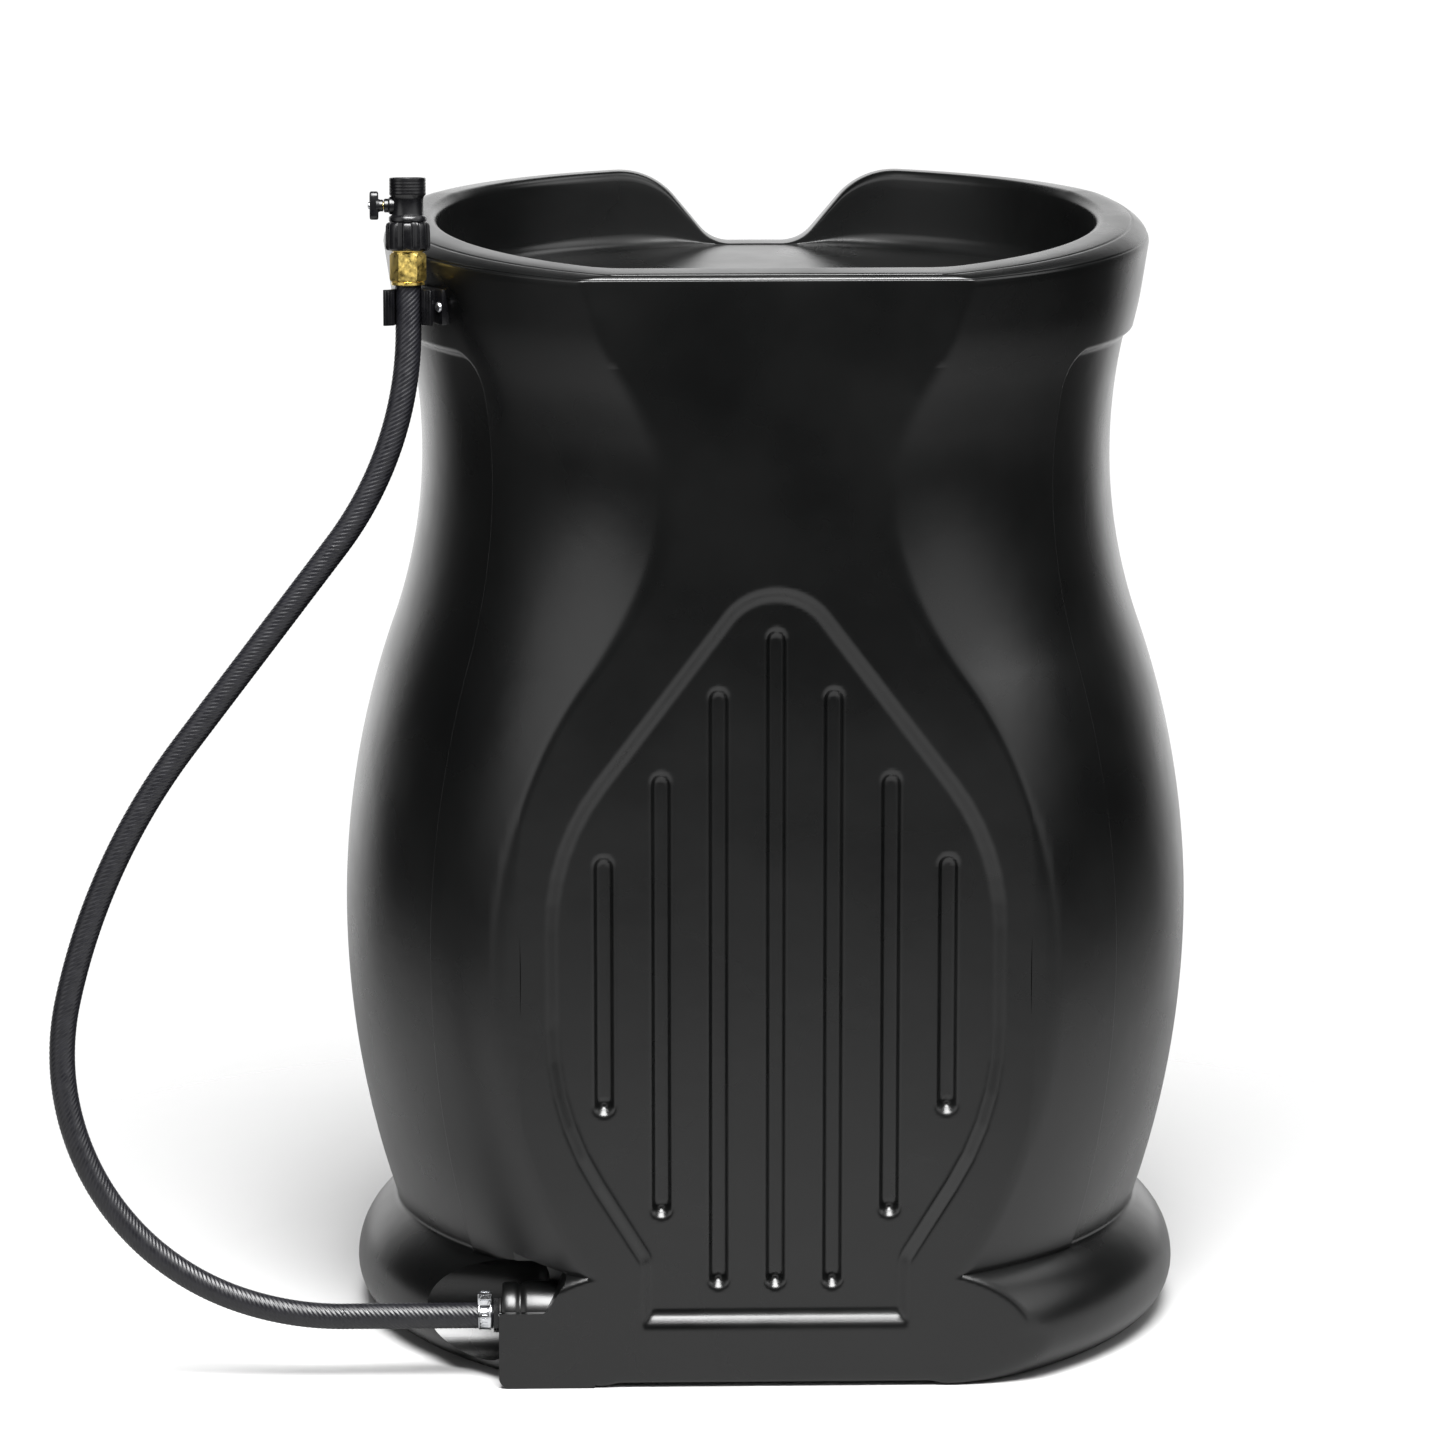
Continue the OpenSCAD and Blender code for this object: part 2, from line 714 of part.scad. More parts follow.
module valve_body() {
    color("#131416") difference() {
        union() {
            on_column(valve_low) cylinder(r = valve_r, h = valve_shoulder - valve_low);
            on_column(valve_low) cylinder(r = valve_neck_r, h = thread_low - valve_low + 1);
            on_column(thread_low) cylinder(r = thread_r, h = valve_high - thread_low);
            on_stem() cylinder(r = gland_r, h = -gland_x);
        }
        on_column(valve_low - 1) cylinder(r = tail_r, h = ball_s - ball_r - valve_low + 1);
        on_column(ball_s - ball_r) cylinder(r = chamber_r, h = 2 * ball_r);
        on_column(ball_s) cylinder(r = neck_way_r, h = 40);
        on_column(valve_mouth) cylinder(r = mouth_r, h = 40);
        on_stem() cylinder(r = stem_r + run_gap, h = 40);
    }
}

module ball_seats() {
    color("#f0efe9") difference() {
        union() {
            column_ring(chamber_r, seat_way_r, ball_s - ball_r, ball_s - ball_r + seat_t);
            column_ring(chamber_r, seat_way_r, ball_s + ball_r - seat_t, ball_s + ball_r);
        }
        on_column(ball_s) sphere(r = ball_r + run_gap);
    }
}

module valve_ball() {
    color("#b08d3a") on_column(ball_s) difference() {
        sphere(r = ball_r);
        translate([0, 0, -20]) cylinder(r = way_r, h = 40);
        translate([-ball_r - 1, -tang_t / 2, -10]) cube([ball_r + 1 - tang_x, tang_t, 20]);
    }
}

module valve_stem() {
    color("#b08d3a") difference() {
        intersection() {
            union() {
                on_stem() translate([0, 0, ball_r + stem_gap])
                    cylinder(r = stem_r, h = -handle_far_x - ball_r - stem_gap - 1);
                on_stem() translate([-stem_r, -tang_t / 2, tang_x]) cube([2 * stem_r, tang_t, tang_len]);
            }
            on_stem() cylinder(r = stem_r, h = 60);
        }
        on_stem() translate([0, 0, oring_x]) difference() {
            cylinder(r = stem_r + 1, h = 2 * stem_groove);
            cylinder(r = stem_r - 1, h = 2 * stem_groove);
        }
        on_stem() translate([0, 0, screw_tip_x]) cylinder(r = handle_screw_r, h = 20);
    }
}

module stem_oring() {
    color("#101010") on_stem() translate([0, 0, oring_x + stem_groove]) rotate_extrude()
        translate([stem_r - stem_seal_r, 0]) circle(stem_seal_r, $fn = 24);
}

module valve_handle() {
    color("#15161a") difference() {
        union() {
            on_stem() translate([0, 0, -handle_hub_x])
                cylinder(r = handle_hub_r, h = handle_hub_x - handle_near_x + 1);
            on_stem() translate([-handle_h / 2 + handle_w / 2, -handle_w / 2, -handle_near_x])
                cube([handle_h - handle_w, handle_w, handle_near_x - handle_far_x]);
            for (side = [-1, 1]) on_stem() translate([side * (handle_h - handle_w) / 2, 0, -handle_near_x])
                cylinder(r = handle_w / 2, h = handle_near_x - handle_far_x);
        }
        on_stem() translate([0, 0, -handle_hub_x - 1]) cylinder(r = stem_r, h = handle_hub_x - handle_far_x);
        on_stem() cylinder(r = handle_screw_r, h = 60);
    }
}

module handle_screw() {
    color("#8d9094") on_stem() {
        translate([0, 0, screw_tip_x]) cylinder(r = handle_screw_r, h = -handle_far_x - screw_tip_x);
        translate([0, 0, -handle_far_x]) cylinder(r = 2 * handle_screw_r, h = handle_screw_head);
    }
}

barrel_shell();
outlet_insert();
outlet_oring();
outlet_fitting();
hose_clip();
clip_screws();
screen_frame();
screen_mesh();
hose();
clamp_band();
clamp_housing();
clamp_screw();
brass_coupling();
coupling_washer();
swivel_nut();
valve_body();
valve_tail();
ball_seats();
valve_ball();
valve_stem();
stem_oring();
valve_handle();
handle_screw();
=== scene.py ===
"""Looks for the flat-backed rain barrel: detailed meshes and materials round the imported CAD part."""

import json
import math

import bmesh
import bpy
import numpy as np
from mathutils import Matrix, Vector

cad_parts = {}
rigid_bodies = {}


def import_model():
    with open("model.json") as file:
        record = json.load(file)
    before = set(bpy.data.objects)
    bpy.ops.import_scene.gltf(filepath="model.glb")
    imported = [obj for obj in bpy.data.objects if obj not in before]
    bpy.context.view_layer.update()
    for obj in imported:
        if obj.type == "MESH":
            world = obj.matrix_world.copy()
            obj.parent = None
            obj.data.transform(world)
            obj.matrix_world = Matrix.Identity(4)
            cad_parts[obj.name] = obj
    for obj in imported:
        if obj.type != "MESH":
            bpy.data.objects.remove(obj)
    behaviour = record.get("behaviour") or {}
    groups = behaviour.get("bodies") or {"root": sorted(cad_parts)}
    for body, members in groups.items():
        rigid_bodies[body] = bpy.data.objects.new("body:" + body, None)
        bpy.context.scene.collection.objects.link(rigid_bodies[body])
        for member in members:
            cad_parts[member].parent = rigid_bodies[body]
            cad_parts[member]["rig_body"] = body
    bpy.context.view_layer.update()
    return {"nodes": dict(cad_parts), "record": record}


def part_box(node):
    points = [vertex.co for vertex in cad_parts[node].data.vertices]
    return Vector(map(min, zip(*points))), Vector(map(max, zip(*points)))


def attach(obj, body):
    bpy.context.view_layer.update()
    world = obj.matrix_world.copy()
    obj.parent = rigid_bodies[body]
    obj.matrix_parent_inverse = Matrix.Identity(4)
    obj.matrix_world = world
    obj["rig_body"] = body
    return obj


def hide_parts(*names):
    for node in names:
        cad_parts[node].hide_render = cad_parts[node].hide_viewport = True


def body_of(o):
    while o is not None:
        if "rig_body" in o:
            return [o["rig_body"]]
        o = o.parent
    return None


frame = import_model()

MM = 0.001
shell_low, shell_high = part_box("barrel_shell")

# ---------------------------------------------------------------- barrel sizes, in millimetres
RIM = shell_high.z / MM
BELLY_R = shell_high.x / MM
BACK = -shell_low.y / MM
BELLY_Z = 310
NECK_R = 257.2
NECK_Z = 660
BODY_START = 86
FOOT_R = 311.5
FOOT_Z = 34
FOOT_OVER_R = 56
FOOT_END = 62
FRAME_STEP = 2.5
FRAME_ANGLE = 51.7
FRAME_CORNER = 27
LEDGE_Z = 749.5
LEDGE_TOP = 754
COLLAR_Z = 748
COLLAR_R = 274.5
COLLAR_BLEND = 9
CROWN_R = 24
CROWN_IN_R = 7
CROWN_FLARE = 10
CREASES = [18, 62]
CREASE_DEPTH = 0.7
RAIL_EDGE = 9
RAIL_SLOPE = math.tan(math.radians(3.2))
RAIL_SLOPE_Y = 90
BASIN_R = 245
BASIN_FLAT = 214
DECK_Z = RIM - 60
DECK_FILLET = 12
INLET_R = 70
WALL = 4
PANEL_DEPTH = 7
PANEL_SLOPE = 10
GROOVE_DEPTH = 5
GROOVE_W = 18
GROOVE_PITCH = 41.5
DIMPLE_W = 9.5
DIMPLE_H = 8
DIMPLE_DEPTH = 7.5
ARC_LOW = 704
ARC_HIGH = 650
ARC_COLLAR = 265
ARC_IN = BELLY_R - NECK_R
ARC_NECK = ((NECK_Z - BELLY_Z) ** 2 + ARC_IN**2) / (2 * ARC_IN) - ARC_HIGH
TANGENT_Z = BELLY_Z + (NECK_Z - BELLY_Z) * ARC_HIGH / (ARC_HIGH + ARC_NECK)

# ---------------------------------------------------------------- outlet and hose sizes, in millimetres
OUTLET_Y = -217
OUTLET_Z = 47
HOSE_R = 9.5
COLUMN_X = -263
HOSE_START_X = -206.3
CLIP_RISE = 738
CLIP_Y = -150
LEAN = math.asin((CLIP_Y - OUTLET_Y) / CLIP_RISE)
HOSE_RUNS = [(0, 227, 20.5), (0, 191, 82), (0, 479, 25), (182, 0, 0), (0, 260, -37.5)]
HOSE_TOP = 756
HOSE_BORE_R = 6.35
BALL_HEIGHT = 813
CLIP_LOW = 727
CLIP_HIGH = 753
CLIP_T = 2.8
CLIP_SCREW_Y = 12.5
SADDLE_X = 18.5
WORM_R = 2.6
BASKET_DEPTH = 26


# ---------------------------------------------------------------- small helpers
def smoothstep(low, high, value):
    t = np.clip((value - low) / (high - low), 0, 1)
    return t * t * (3 - 2 * t)


def smooth_min(a, b, softness):
    """Smaller of a and b, with the corner between them rounded."""
    h = np.maximum(softness - np.abs(a - b), 0) / softness
    return np.minimum(a, b) - h * h * softness / 4


def arc(centre, radius, start, end, steps):
    """Points on an arc, angles in degrees."""
    a = np.radians(np.linspace(start, end, steps + 1))
    return np.column_stack([centre[0] + radius * np.cos(a), centre[1] + radius * np.sin(a)])


def unit(vector):
    return vector / np.linalg.norm(vector)


def rounded_outline(corners, closed=True, step=6):
    """Polyline through corners, each (x, y, fillet radius)."""
    points = []
    count = len(corners)
    for i, (x, y, radius) in enumerate(corners):
        b = np.array([x, y], float)
        if not closed and i in (0, count - 1):
            points.append(b[None])
            continue
        a = np.array(corners[i - 1][:2], float)
        c = np.array(corners[(i + 1) % count][:2], float)
        u, v = unit(a - b), unit(c - b)
        half = math.acos(np.clip(u @ v, -1, 1)) / 2
        centre = b + unit(u + v) * radius / math.sin(half)
        p, q = b + u * radius / math.tan(half), b + v * radius / math.tan(half)
        start = math.degrees(math.atan2(*(p - centre)[::-1]))
        sweep = math.degrees(math.atan2(*(q - centre)[::-1])) - start
        sweep = (sweep + 180) % 360 - 180
        points.append(arc(centre, radius, start, start + sweep, max(2, int(abs(sweep) / step))))
    return np.vstack(points)


def signed_distance(outline, x, z):
    """Distance from points to a closed outline, negative inside."""
    best = np.full(x.shape, 1e9)
    inside = np.zeros(x.shape, bool)
    for (ax, az), (bx, bz) in zip(outline, np.roll(outline, -1, axis=0)):
        ex, ez = bx - ax, bz - az
        length = ex * ex + ez * ez
        if length < 1e-9:
            continue
        t = np.clip(((x - ax) * ex + (z - az) * ez) / length, 0, 1)
        best = np.minimum(best, np.hypot(x - ax - t * ex, z - az - t * ez))
        crosses = (az > z) != (bz > z)
        with np.errstate(divide="ignore", invalid="ignore"):
            inside ^= crosses & (x < ax + (z - az) * ex / (ez if ez else 1e-12))
    return np.where(inside, -best, best)


def mesh_object(name, vertices, faces, smooth=True):
    """Object from vertices in millimetres and a list of faces."""
    mesh = bpy.data.meshes.new(name)
    mesh.from_pydata((np.asarray(vertices, float) * MM).tolist(), [], faces)
    mesh.update()
    if smooth:
        mesh.polygons.foreach_set("use_smooth", [True] * len(mesh.polygons))
    made = bpy.data.objects.new(name, mesh)
    bpy.context.scene.collection.objects.link(made)
    return made


def grid_faces(rows, columns, wrap=True):
    """Quads of a grid of rows by columns, closed round the columns when wrap is true."""
    row = np.arange(rows - 1)[:, None] * columns
    column = np.arange(columns if wrap else columns - 1)[None, :]
    after = (column + 1) % columns
    quads = np.stack([row + column, row + after, row + columns + after, row + columns + column], axis=-1)
    return quads.reshape(-1, 4).tolist()


def apply_modifiers(piece):
    """Bakes every modifier of a piece into its mesh."""
    graph = bpy.context.evaluated_depsgraph_get()
    baked = bpy.data.meshes.new_from_object(piece.evaluated_get(graph), depsgraph=graph)
    piece.modifiers.clear()
    piece.data = baked
    return piece


def boolean(piece, other, operation):
    """Cuts or joins another object into a piece and removes it."""
    modifier = piece.modifiers.new(operation, "BOOLEAN")
    modifier.operation = operation
    modifier.object = other
    modifier.solver = "MANIFOLD"
    apply_modifiers(piece)
    bpy.data.objects.remove(other)
    return piece


# ---------------------------------------------------------------- barrel outline
def front_radius(z):
    """Radius of the body in front of the rear frame."""
    low = BELLY_R - ARC_LOW + np.sqrt(ARC_LOW**2 - np.minimum(BELLY_Z - z, ARC_LOW - 1) ** 2)
    high = BELLY_R - ARC_HIGH + np.sqrt(ARC_HIGH**2 - (z - BELLY_Z) ** 2)
    neck = NECK_R + ARC_NECK - np.sqrt(np.maximum(ARC_NECK**2 - (z - NECK_Z) ** 2, 0))
    return np.where(z < BELLY_Z, low, np.where(z < TANGENT_Z, high, neck))


def rear_radius(z):
    """Radius of the rear frame, which runs on into the collar without a ledge."""
    top = NECK_R + FRAME_STEP + ARC_COLLAR - np.sqrt(np.maximum(ARC_COLLAR**2 - (z - NECK_Z) ** 2, 0))
    softness = 0.01 + COLLAR_BLEND * smoothstep(NECK_Z, COLLAR_Z - 10, z)
    return np.where(z < NECK_Z, front_radius(z) + FRAME_STEP, smooth_min(top, collar_radius(z), softness))


def collar_radius(z):
    """Radius of the collar, which flares a little up to the crown."""
    return COLLAR_R + (z - COLLAR_Z) / (RIM - CROWN_R - COLLAR_Z) * CROWN_FLARE


def profile_rows():
    """Rows of the barrel: (front radius, rear radius, height, distance to the flat, corner softness)."""
    rows = []
    for radius, z, flat in [(225, 0, 214), (233, 10, 222), (252, 10, 234), (260, 1.5, 240), (264, 0, 243)]:
        rows.append((radius, radius, z, flat, 3.0))
    under = arc((FOOT_R - FOOT_Z, FOOT_Z), FOOT_Z, -90, 0, 12)
    over = arc((FOOT_R - FOOT_OVER_R, FOOT_Z), FOOT_OVER_R, 0, FOOT_END, 16)
    foot = np.vstack([under, over[1:]])
    for radius, z in foot:
        edge = 4 - z
        flat = BACK - (4 - math.sqrt(16 - edge * edge) if edge > 0 else 0)
        rows.append((radius, radius, z, flat, float(3 + 12 * (1 - smoothstep(34, 48, z)))))
    heights = np.concatenate([
        np.arange(BODY_START, 100, 2.0), np.arange(100, 622, 2.5), np.arange(622, 712, 5.0),
        np.arange(712, LEDGE_TOP, 1.0)])
    for z in heights:
        rows.append((float(front_radius(z)), float(rear_radius(z)), z, BACK, 3.0))
    for z in np.arange(LEDGE_TOP, RIM - CROWN_R, 5.0):
        rows.append((float(collar_radius(z)), float(rear_radius(z)), z, BACK, 2.0))
    crown_r = COLLAR_R + CROWN_FLARE - CROWN_R
    steps = [np.linspace(0, 10, 3), np.linspace(12, 24, 9), np.linspace(28, 54, 6), np.linspace(56, 68, 9),
             np.linspace(72, 90, 4)]
    for degrees in np.concatenate(steps):
        crease = sum(1 - float(smoothstep(0, 4, abs(degrees - middle))) for middle in CREASES)
        out, up = math.cos(math.radians(degrees)), math.sin(math.radians(degrees))
        reach = CROWN_R - CREASE_DEPTH * crease
        flat = BACK - RAIL_EDGE * (1 - out) - CREASE_DEPTH * crease * out
        rows.append((crown_r + reach * out, crown_r + reach * out, RIM - CROWN_R + reach * up, flat, 2.0))
    for radius, z in arc((BASIN_R + CROWN_IN_R, RIM - CROWN_IN_R), CROWN_IN_R, 90, 180, 8):
        rows.append((radius, radius, z, radius - BASIN_R + BASIN_FLAT, 8.0))
    for z in np.linspace(RIM - CROWN_IN_R, DECK_Z + DECK_FILLET, 6)[1:-1]:
        rows.append((BASIN_R, BASIN_R, z, BASIN_FLAT, 8.0))
    for radius, z in arc((BASIN_R - DECK_FILLET, DECK_Z + DECK_FILLET), DECK_FILLET, 0, -90, 8):
        rows.append((radius, radius, z, radius - BASIN_R + BASIN_FLAT, 8.0))
    return rows


def back_scale(radius):
    """How much narrower the columns on the flat back stand on a ring smaller than the basin."""
    return min(1, radius / BASIN_R)


def column_azimuths(radius):
    """Azimuths, from the back, of the columns on the right of the flat back, in degrees."""
    mm = 180 / math.pi / radius
    start = math.degrees(math.asin(BACK_COLUMN_X * back_scale(radius) / radius))
    near = FRAME_ANGLE - 3 * mm
    lead = start + (near - start) * np.linspace(0, 1, 13)[1:-1]
    fine = FRAME_ANGLE + mm * np.array([-3, -2.2, -1.6, -1.1, -0.7, -0.35, 0, 0.35, 0.7, 1.1, 1.6, 2.2, 3])
    corner = FRAME_ANGLE + mm * np.arange(4.4, 33, 1.5)
    flank = np.linspace(corner[-1], 146, 82)[1:]
    front = np.linspace(146, 180, 62)[1:]
    return np.concatenate([lead, fine, corner, flank, front])


BACK_COLUMN_X = 185
BACK_X = np.linspace(-BACK_COLUMN_X, BACK_COLUMN_X, 249)
SIDE_COLUMNS = len(column_azimuths(300.0))


def leaf_outline():
    """Outline of the leaf-shaped recess on the flat back."""
    half = [(166, 404, 179), (166, 205, 230), (98, 94, 12), (98, 47.5, 3)]
    corners = [(0, 624, 47)] + half + [(-x, z, radius) for x, z, radius in reversed(half)]
    return rounded_outline(corners)


def notch_height(x):
    """Height of the rim across the overflow notch."""
    sill = DECK_Z + 1
    top = [(-300, RIM, 0), (-81.7, RIM, 60), (-34, sill, 30), (34, sill, 30), (81.7, RIM, 60), (300, RIM, 0)]
    line = rounded_outline(top, closed=False, step=3)
    return np.interp(x, line[:, 0], line[:, 1])


def panel_depth(x, z):
    """How far the leaf panel and its grooves lie in front of the flat back plane."""
    inward = np.clip((1 - signed_distance(leaf_outline(), x, z)) / PANEL_SLOPE, 0, 1)
    depth = PANEL_DEPTH * (0.6 * inward + 0.4 * smoothstep(0, 1, inward))
    low = [72.5, 72.5, 126, 203]
    high = [564, 521, 459, 398]
    for i in range(-3, 4):
        along = np.clip(z, low[abs(i)] + GROOVE_W / 2, high[abs(i)] - GROOVE_W / 2)
        across = x - i * GROOVE_PITCH
        reach = np.hypot(across, z - along) / (GROOVE_W / 2)
        dimple = np.hypot(across / DIMPLE_W, (z - low[abs(i)] - DIMPLE_H) / DIMPLE_H)
        groove = GROOVE_DEPTH * (1 - smoothstep(0.35, 1.0, reach))
        depth = depth + np.maximum(groove, DIMPLE_DEPTH * (1 - smoothstep(0.1, 1.0, dimple)))
    return depth


def frame_share(azimuth, radius, z):
    """One on the rear frame and the collar, zero on the recessed front of the body."""
    inside = np.radians(azimuth - FRAME_ANGLE) * radius
    below = LEDGE_Z - z
    corner = np.hypot(np.maximum(FRAME_CORNER - inside, 0), np.maximum(FRAME_CORNER - below, 0))
    depth = np.where(corner > 0, FRAME_CORNER - corner, np.minimum(inside, below))
    share = smoothstep(-0.6, 0.8, (inside - below) / (2 * FRAME_CORNER))
    width = 1.1 + 2.6 * share
    return 1 - smoothstep(-width, width, depth)


def barrel_ring(row):
    """Vertices of one row of the barrel, counter-clockwise from the left end of the flat back."""
    front, rear, z, flat, softness = row
    x = BACK_X * back_scale(front)
    back_y = -smooth_min(np.sqrt(rear**2 - x**2), np.full(x.shape, float(flat)), softness)
    azimuth = column_azimuths(rear)
    share = frame_share(azimuth, rear, z) if BODY_START <= z < LEDGE_TOP and rear < BELLY_R + 10 else 1
    radius = front + (rear - front) * share
    a = np.radians(azimuth)
    limit = np.where(azimuth < 80, flat / np.cos(np.minimum(a, 1.4)), 1e4)
    radius = smooth_min(radius, limit, softness)
    side_x, side_y = radius * np.sin(a), -radius * np.cos(a)
    ring_x = np.concatenate([x, side_x, -side_x[-2::-1]])
    ring_y = np.concatenate([back_y, side_y, side_y[-2::-1]])
    return np.column_stack([ring_x, ring_y, np.full(len(ring_x), float(z))])


def squeeze(z, base, top):
    """Heights above base, scaled so that the rim comes down to top."""
    return np.where(z > base, base + (z - base) * (top - base) / (RIM - base), z)


def build_barrel():
    """The whole moulding as one closed surface: underside, body, basin, deck and the inside of the tank."""
    rows = profile_rows()
    rings = [barrel_ring(row) for row in rows]
    foot_end = next(i for i, row in enumerate(rows) if row[2] >= BODY_START)
    collar = next(i for i, row in enumerate(rows) if row[2] >= LEDGE_TOP)
    crown_top = max(range(len(rows)), key=lambda i: (rows[i][2], -i))
    n = len(BACK_X)
    for i, ring in enumerate(rings):
        x, z = ring[:, 0], ring[:, 2]
        if 5 <= i <= crown_top:
            ring[:n, 1] += panel_depth(x[:n], z[:n]) * (z[:n] < 640)
        if 3 <= i < foot_end:
            lift = 3 * (1 - smoothstep(112, 128, np.abs(x[:n])))
            ring[:n, 2] += lift * np.clip(1 - z[:n] / 18, 0, 1) * (ring[:n, 1] < -236)
        base = 766 if i <= crown_top else DECK_Z
        if i > collar:
            rear_base = RIM - CROWN_R if i <= crown_top else DECK_Z
            rear_rim = RIM - RAIL_SLOPE * np.maximum(RAIL_SLOPE_Y - ring[:, 1], 0)
            front_side = ring[:, 1] > 0
            ring[:, 2] = squeeze(z, rear_base, rear_rim)
            ring[:, 2] = np.where(front_side, squeeze(ring[:, 2], base, notch_height(x)), ring[:, 2])
    deck = rings[-1]
    angle = np.arctan2(deck[:, 1], deck[:, 0])
    hole = np.column_stack([INLET_R * np.cos(angle), INLET_R * np.sin(angle), np.full(len(angle), DECK_Z)])
    for share in np.linspace(0, 1, 9)[1:]:
        rings.append(deck + (hole - deck) * share)
    for radius, z in [(INLET_R, DECK_Z - WALL), (120, DECK_Z - WALL), (238, DECK_Z - 14)]:
        rings.append(hole * [radius / INLET_R, radius / INLET_R, 0] + [0, 0, z])
    inside_flat = BACK - PANEL_DEPTH - DIMPLE_DEPTH - WALL
    for z in (740, 700, 660, 610, 560, 500, 440, 370, 310, 240, 180, 130, 112):
        radius = float(front_radius(z)) - WALL
        rings.append(barrel_ring((radius, radius, z, inside_flat, 8.0)))
    count = len(rings[0])
    faces = grid_faces(len(rings), count)
    vertices = np.vstack(rings + [[[0, 0, 0]], [[0, 0, 112]]])
    first, last = len(vertices) - 2, len(vertices) - 1
    end = (len(rings) - 1) * count
    faces += [(first, (j + 1) % count, j) for j in range(count)]
    faces += [(end + j, end + (j + 1) % count, last) for j in range(count)]
    return mesh_object("barrel_moulding", vertices, faces)


def along_x(piece, x, y, z):
    """Turns a lathed piece so that its axis points to -X and moves it, in millimetres."""
    turn = Matrix.Rotation(math.radians(-90), 4, "Y")
    piece.data.transform(Matrix.Translation(Vector((x, y, z)) * MM) @ turn)
    return piece


def solid_lathe(name, profile, segments=96):
    """Solid of revolution about Z whose profile starts and ends on the axis."""
    a = np.linspace(0, 2 * math.pi, segments, endpoint=False)
    inner = np.asarray(profile, float)
    rings = [np.column_stack([r * np.cos(a), r * np.sin(a), np.full(segments, z)]) for r, z in inner[1:-1]]
    vertices = np.vstack(rings + [[[0, 0, inner[0][1]]], [[0, 0, inner[-1][1]]]])
    faces = grid_faces(len(rings), segments)
    first, last, end = len(vertices) - 2, len(vertices) - 1, (len(rings) - 1) * segments
    faces += [(first, (j + 1) % segments, j) for j in range(segments)]
    faces += [(end + j, end + (j + 1) % segments, last) for j in range(segments)]
    return mesh_object(name, vertices, faces)


def prism(name, outline, y_low, y_high):
    """Closed prism along Y from an outline in X and Z."""
    outline = np.asarray(outline, float)
    n = len(outline)
    low = np.column_stack([outline[:, 0], np.full(n, float(y_low)), outline[:, 1]])
    high = np.column_stack([outline[:, 0], np.full(n, float(y_high)), outline[:, 1]])
    faces = [tuple(range(n)), tuple(range(2 * n - 1, n - 1, -1))]
    faces += [(i, n + i, n + (i + 1) % n, (i + 1) % n) for i in range(n)]
    made = mesh_object(name, np.vstack([low, high]), faces)
    fix_normals(made)
    return made


def fix_normals(piece):
    work = bmesh.new()
    work.from_mesh(piece.data)
    bmesh.ops.recalc_face_normals(work, faces=work.faces)
    work.to_mesh(piece.data)
    work.free()


def outlet_pocket():
    """Solid of the round pocket behind the fin, lying along X; build_outlet cuts it out and adds the fin and the
    outlet boss.
    """
    reach = 235
    depth = [(0, 0), (27, 0), (33.5, 2.5), (37, 9), (37, reach), (0, reach)]
    return along_x(solid_lathe("pocket_cut", depth), -165, -213, 50)


def build_outlet(shell):
    boolean(shell, outlet_pocket(), "DIFFERENCE")
    notch = rounded_outline([(-400, 57, 1), (-168, 57, 5), (-151, 84, 3), (-200, 95, 8), (-400, 100, 1)])
    boolean(shell, prism("notch_cut", notch, -270, -212), "DIFFERENCE")
    fin = prism("fin", rounded_outline([(-202, 0.4, 8), (-132, 0.4, 1), (-132, 57, 1), (-202, 57, 3)]),
                -BACK - 0.06, -BACK + 5)
    boolean(shell, fin, "UNION")
    boss = [(0, -6), (24, -6), (25, -4), (25, 16), (24.2, 19.5), (22.8, 21), (22.8, 22), (24, 23.5), (24.6, 26),
            (24.6, 32), (23.6, 34.4), (21.5, 35), (12.2, 35), (12.2, 30), (0, 30)]
    boolean(shell, along_x(solid_lathe("boss", boss), -165, OUTLET_Y, OUTLET_Z), "UNION")
    return shell


# ---------------------------------------------------------------- placing and joining
HOSE_PLANE = Matrix.Translation((0, OUTLET_Y, OUTLET_Z)) @ Matrix.Rotation(-LEAN, 4, "X")
UPRIGHT = Matrix.Rotation(math.radians(-90), 4, "X")


def on_column(height):
    """Frame on the hose column at a height along it."""
    return HOSE_PLANE @ Matrix.Translation((COLUMN_X, 0, height))


def on_stem(distance):
    """Frame on the valve stem, its Z pointing left, away from the barrel."""
    turn = Matrix.Rotation(math.radians(-90), 4, "Y")
    return on_column(BALL_HEIGHT) @ turn @ Matrix.Translation((0, 0, distance))


def place(piece, spot):
    """Moves a piece to a frame whose origin is in millimetres."""
    move = spot.copy()
    move.translation *= MM
    piece.data.transform(move)
    return piece


def bevel(piece, width, segments=2):
    """Rounds the sharp edges of a piece."""
    modifier = piece.modifiers.new("bevel", "BEVEL")
    modifier.width = width * MM
    modifier.segments = segments
    modifier.limit_method = "ANGLE"
    modifier.angle_limit = math.radians(35)
    modifier.harden_normals = False
    return apply_modifiers(piece)


def closed_tube(name, rings):
    """Closed surface through rings that run round a loop, such as the outside and the bore of a pipe."""
    count = len(rings[0])
    faces = grid_faces(len(rings), count)
    end = (len(rings) - 1) * count
    faces += [(end + j, end + (j + 1) % count, (j + 1) % count, j) for j in range(count)]
    made = mesh_object(name, np.vstack(rings), faces)
    fix_normals(made)
    return made


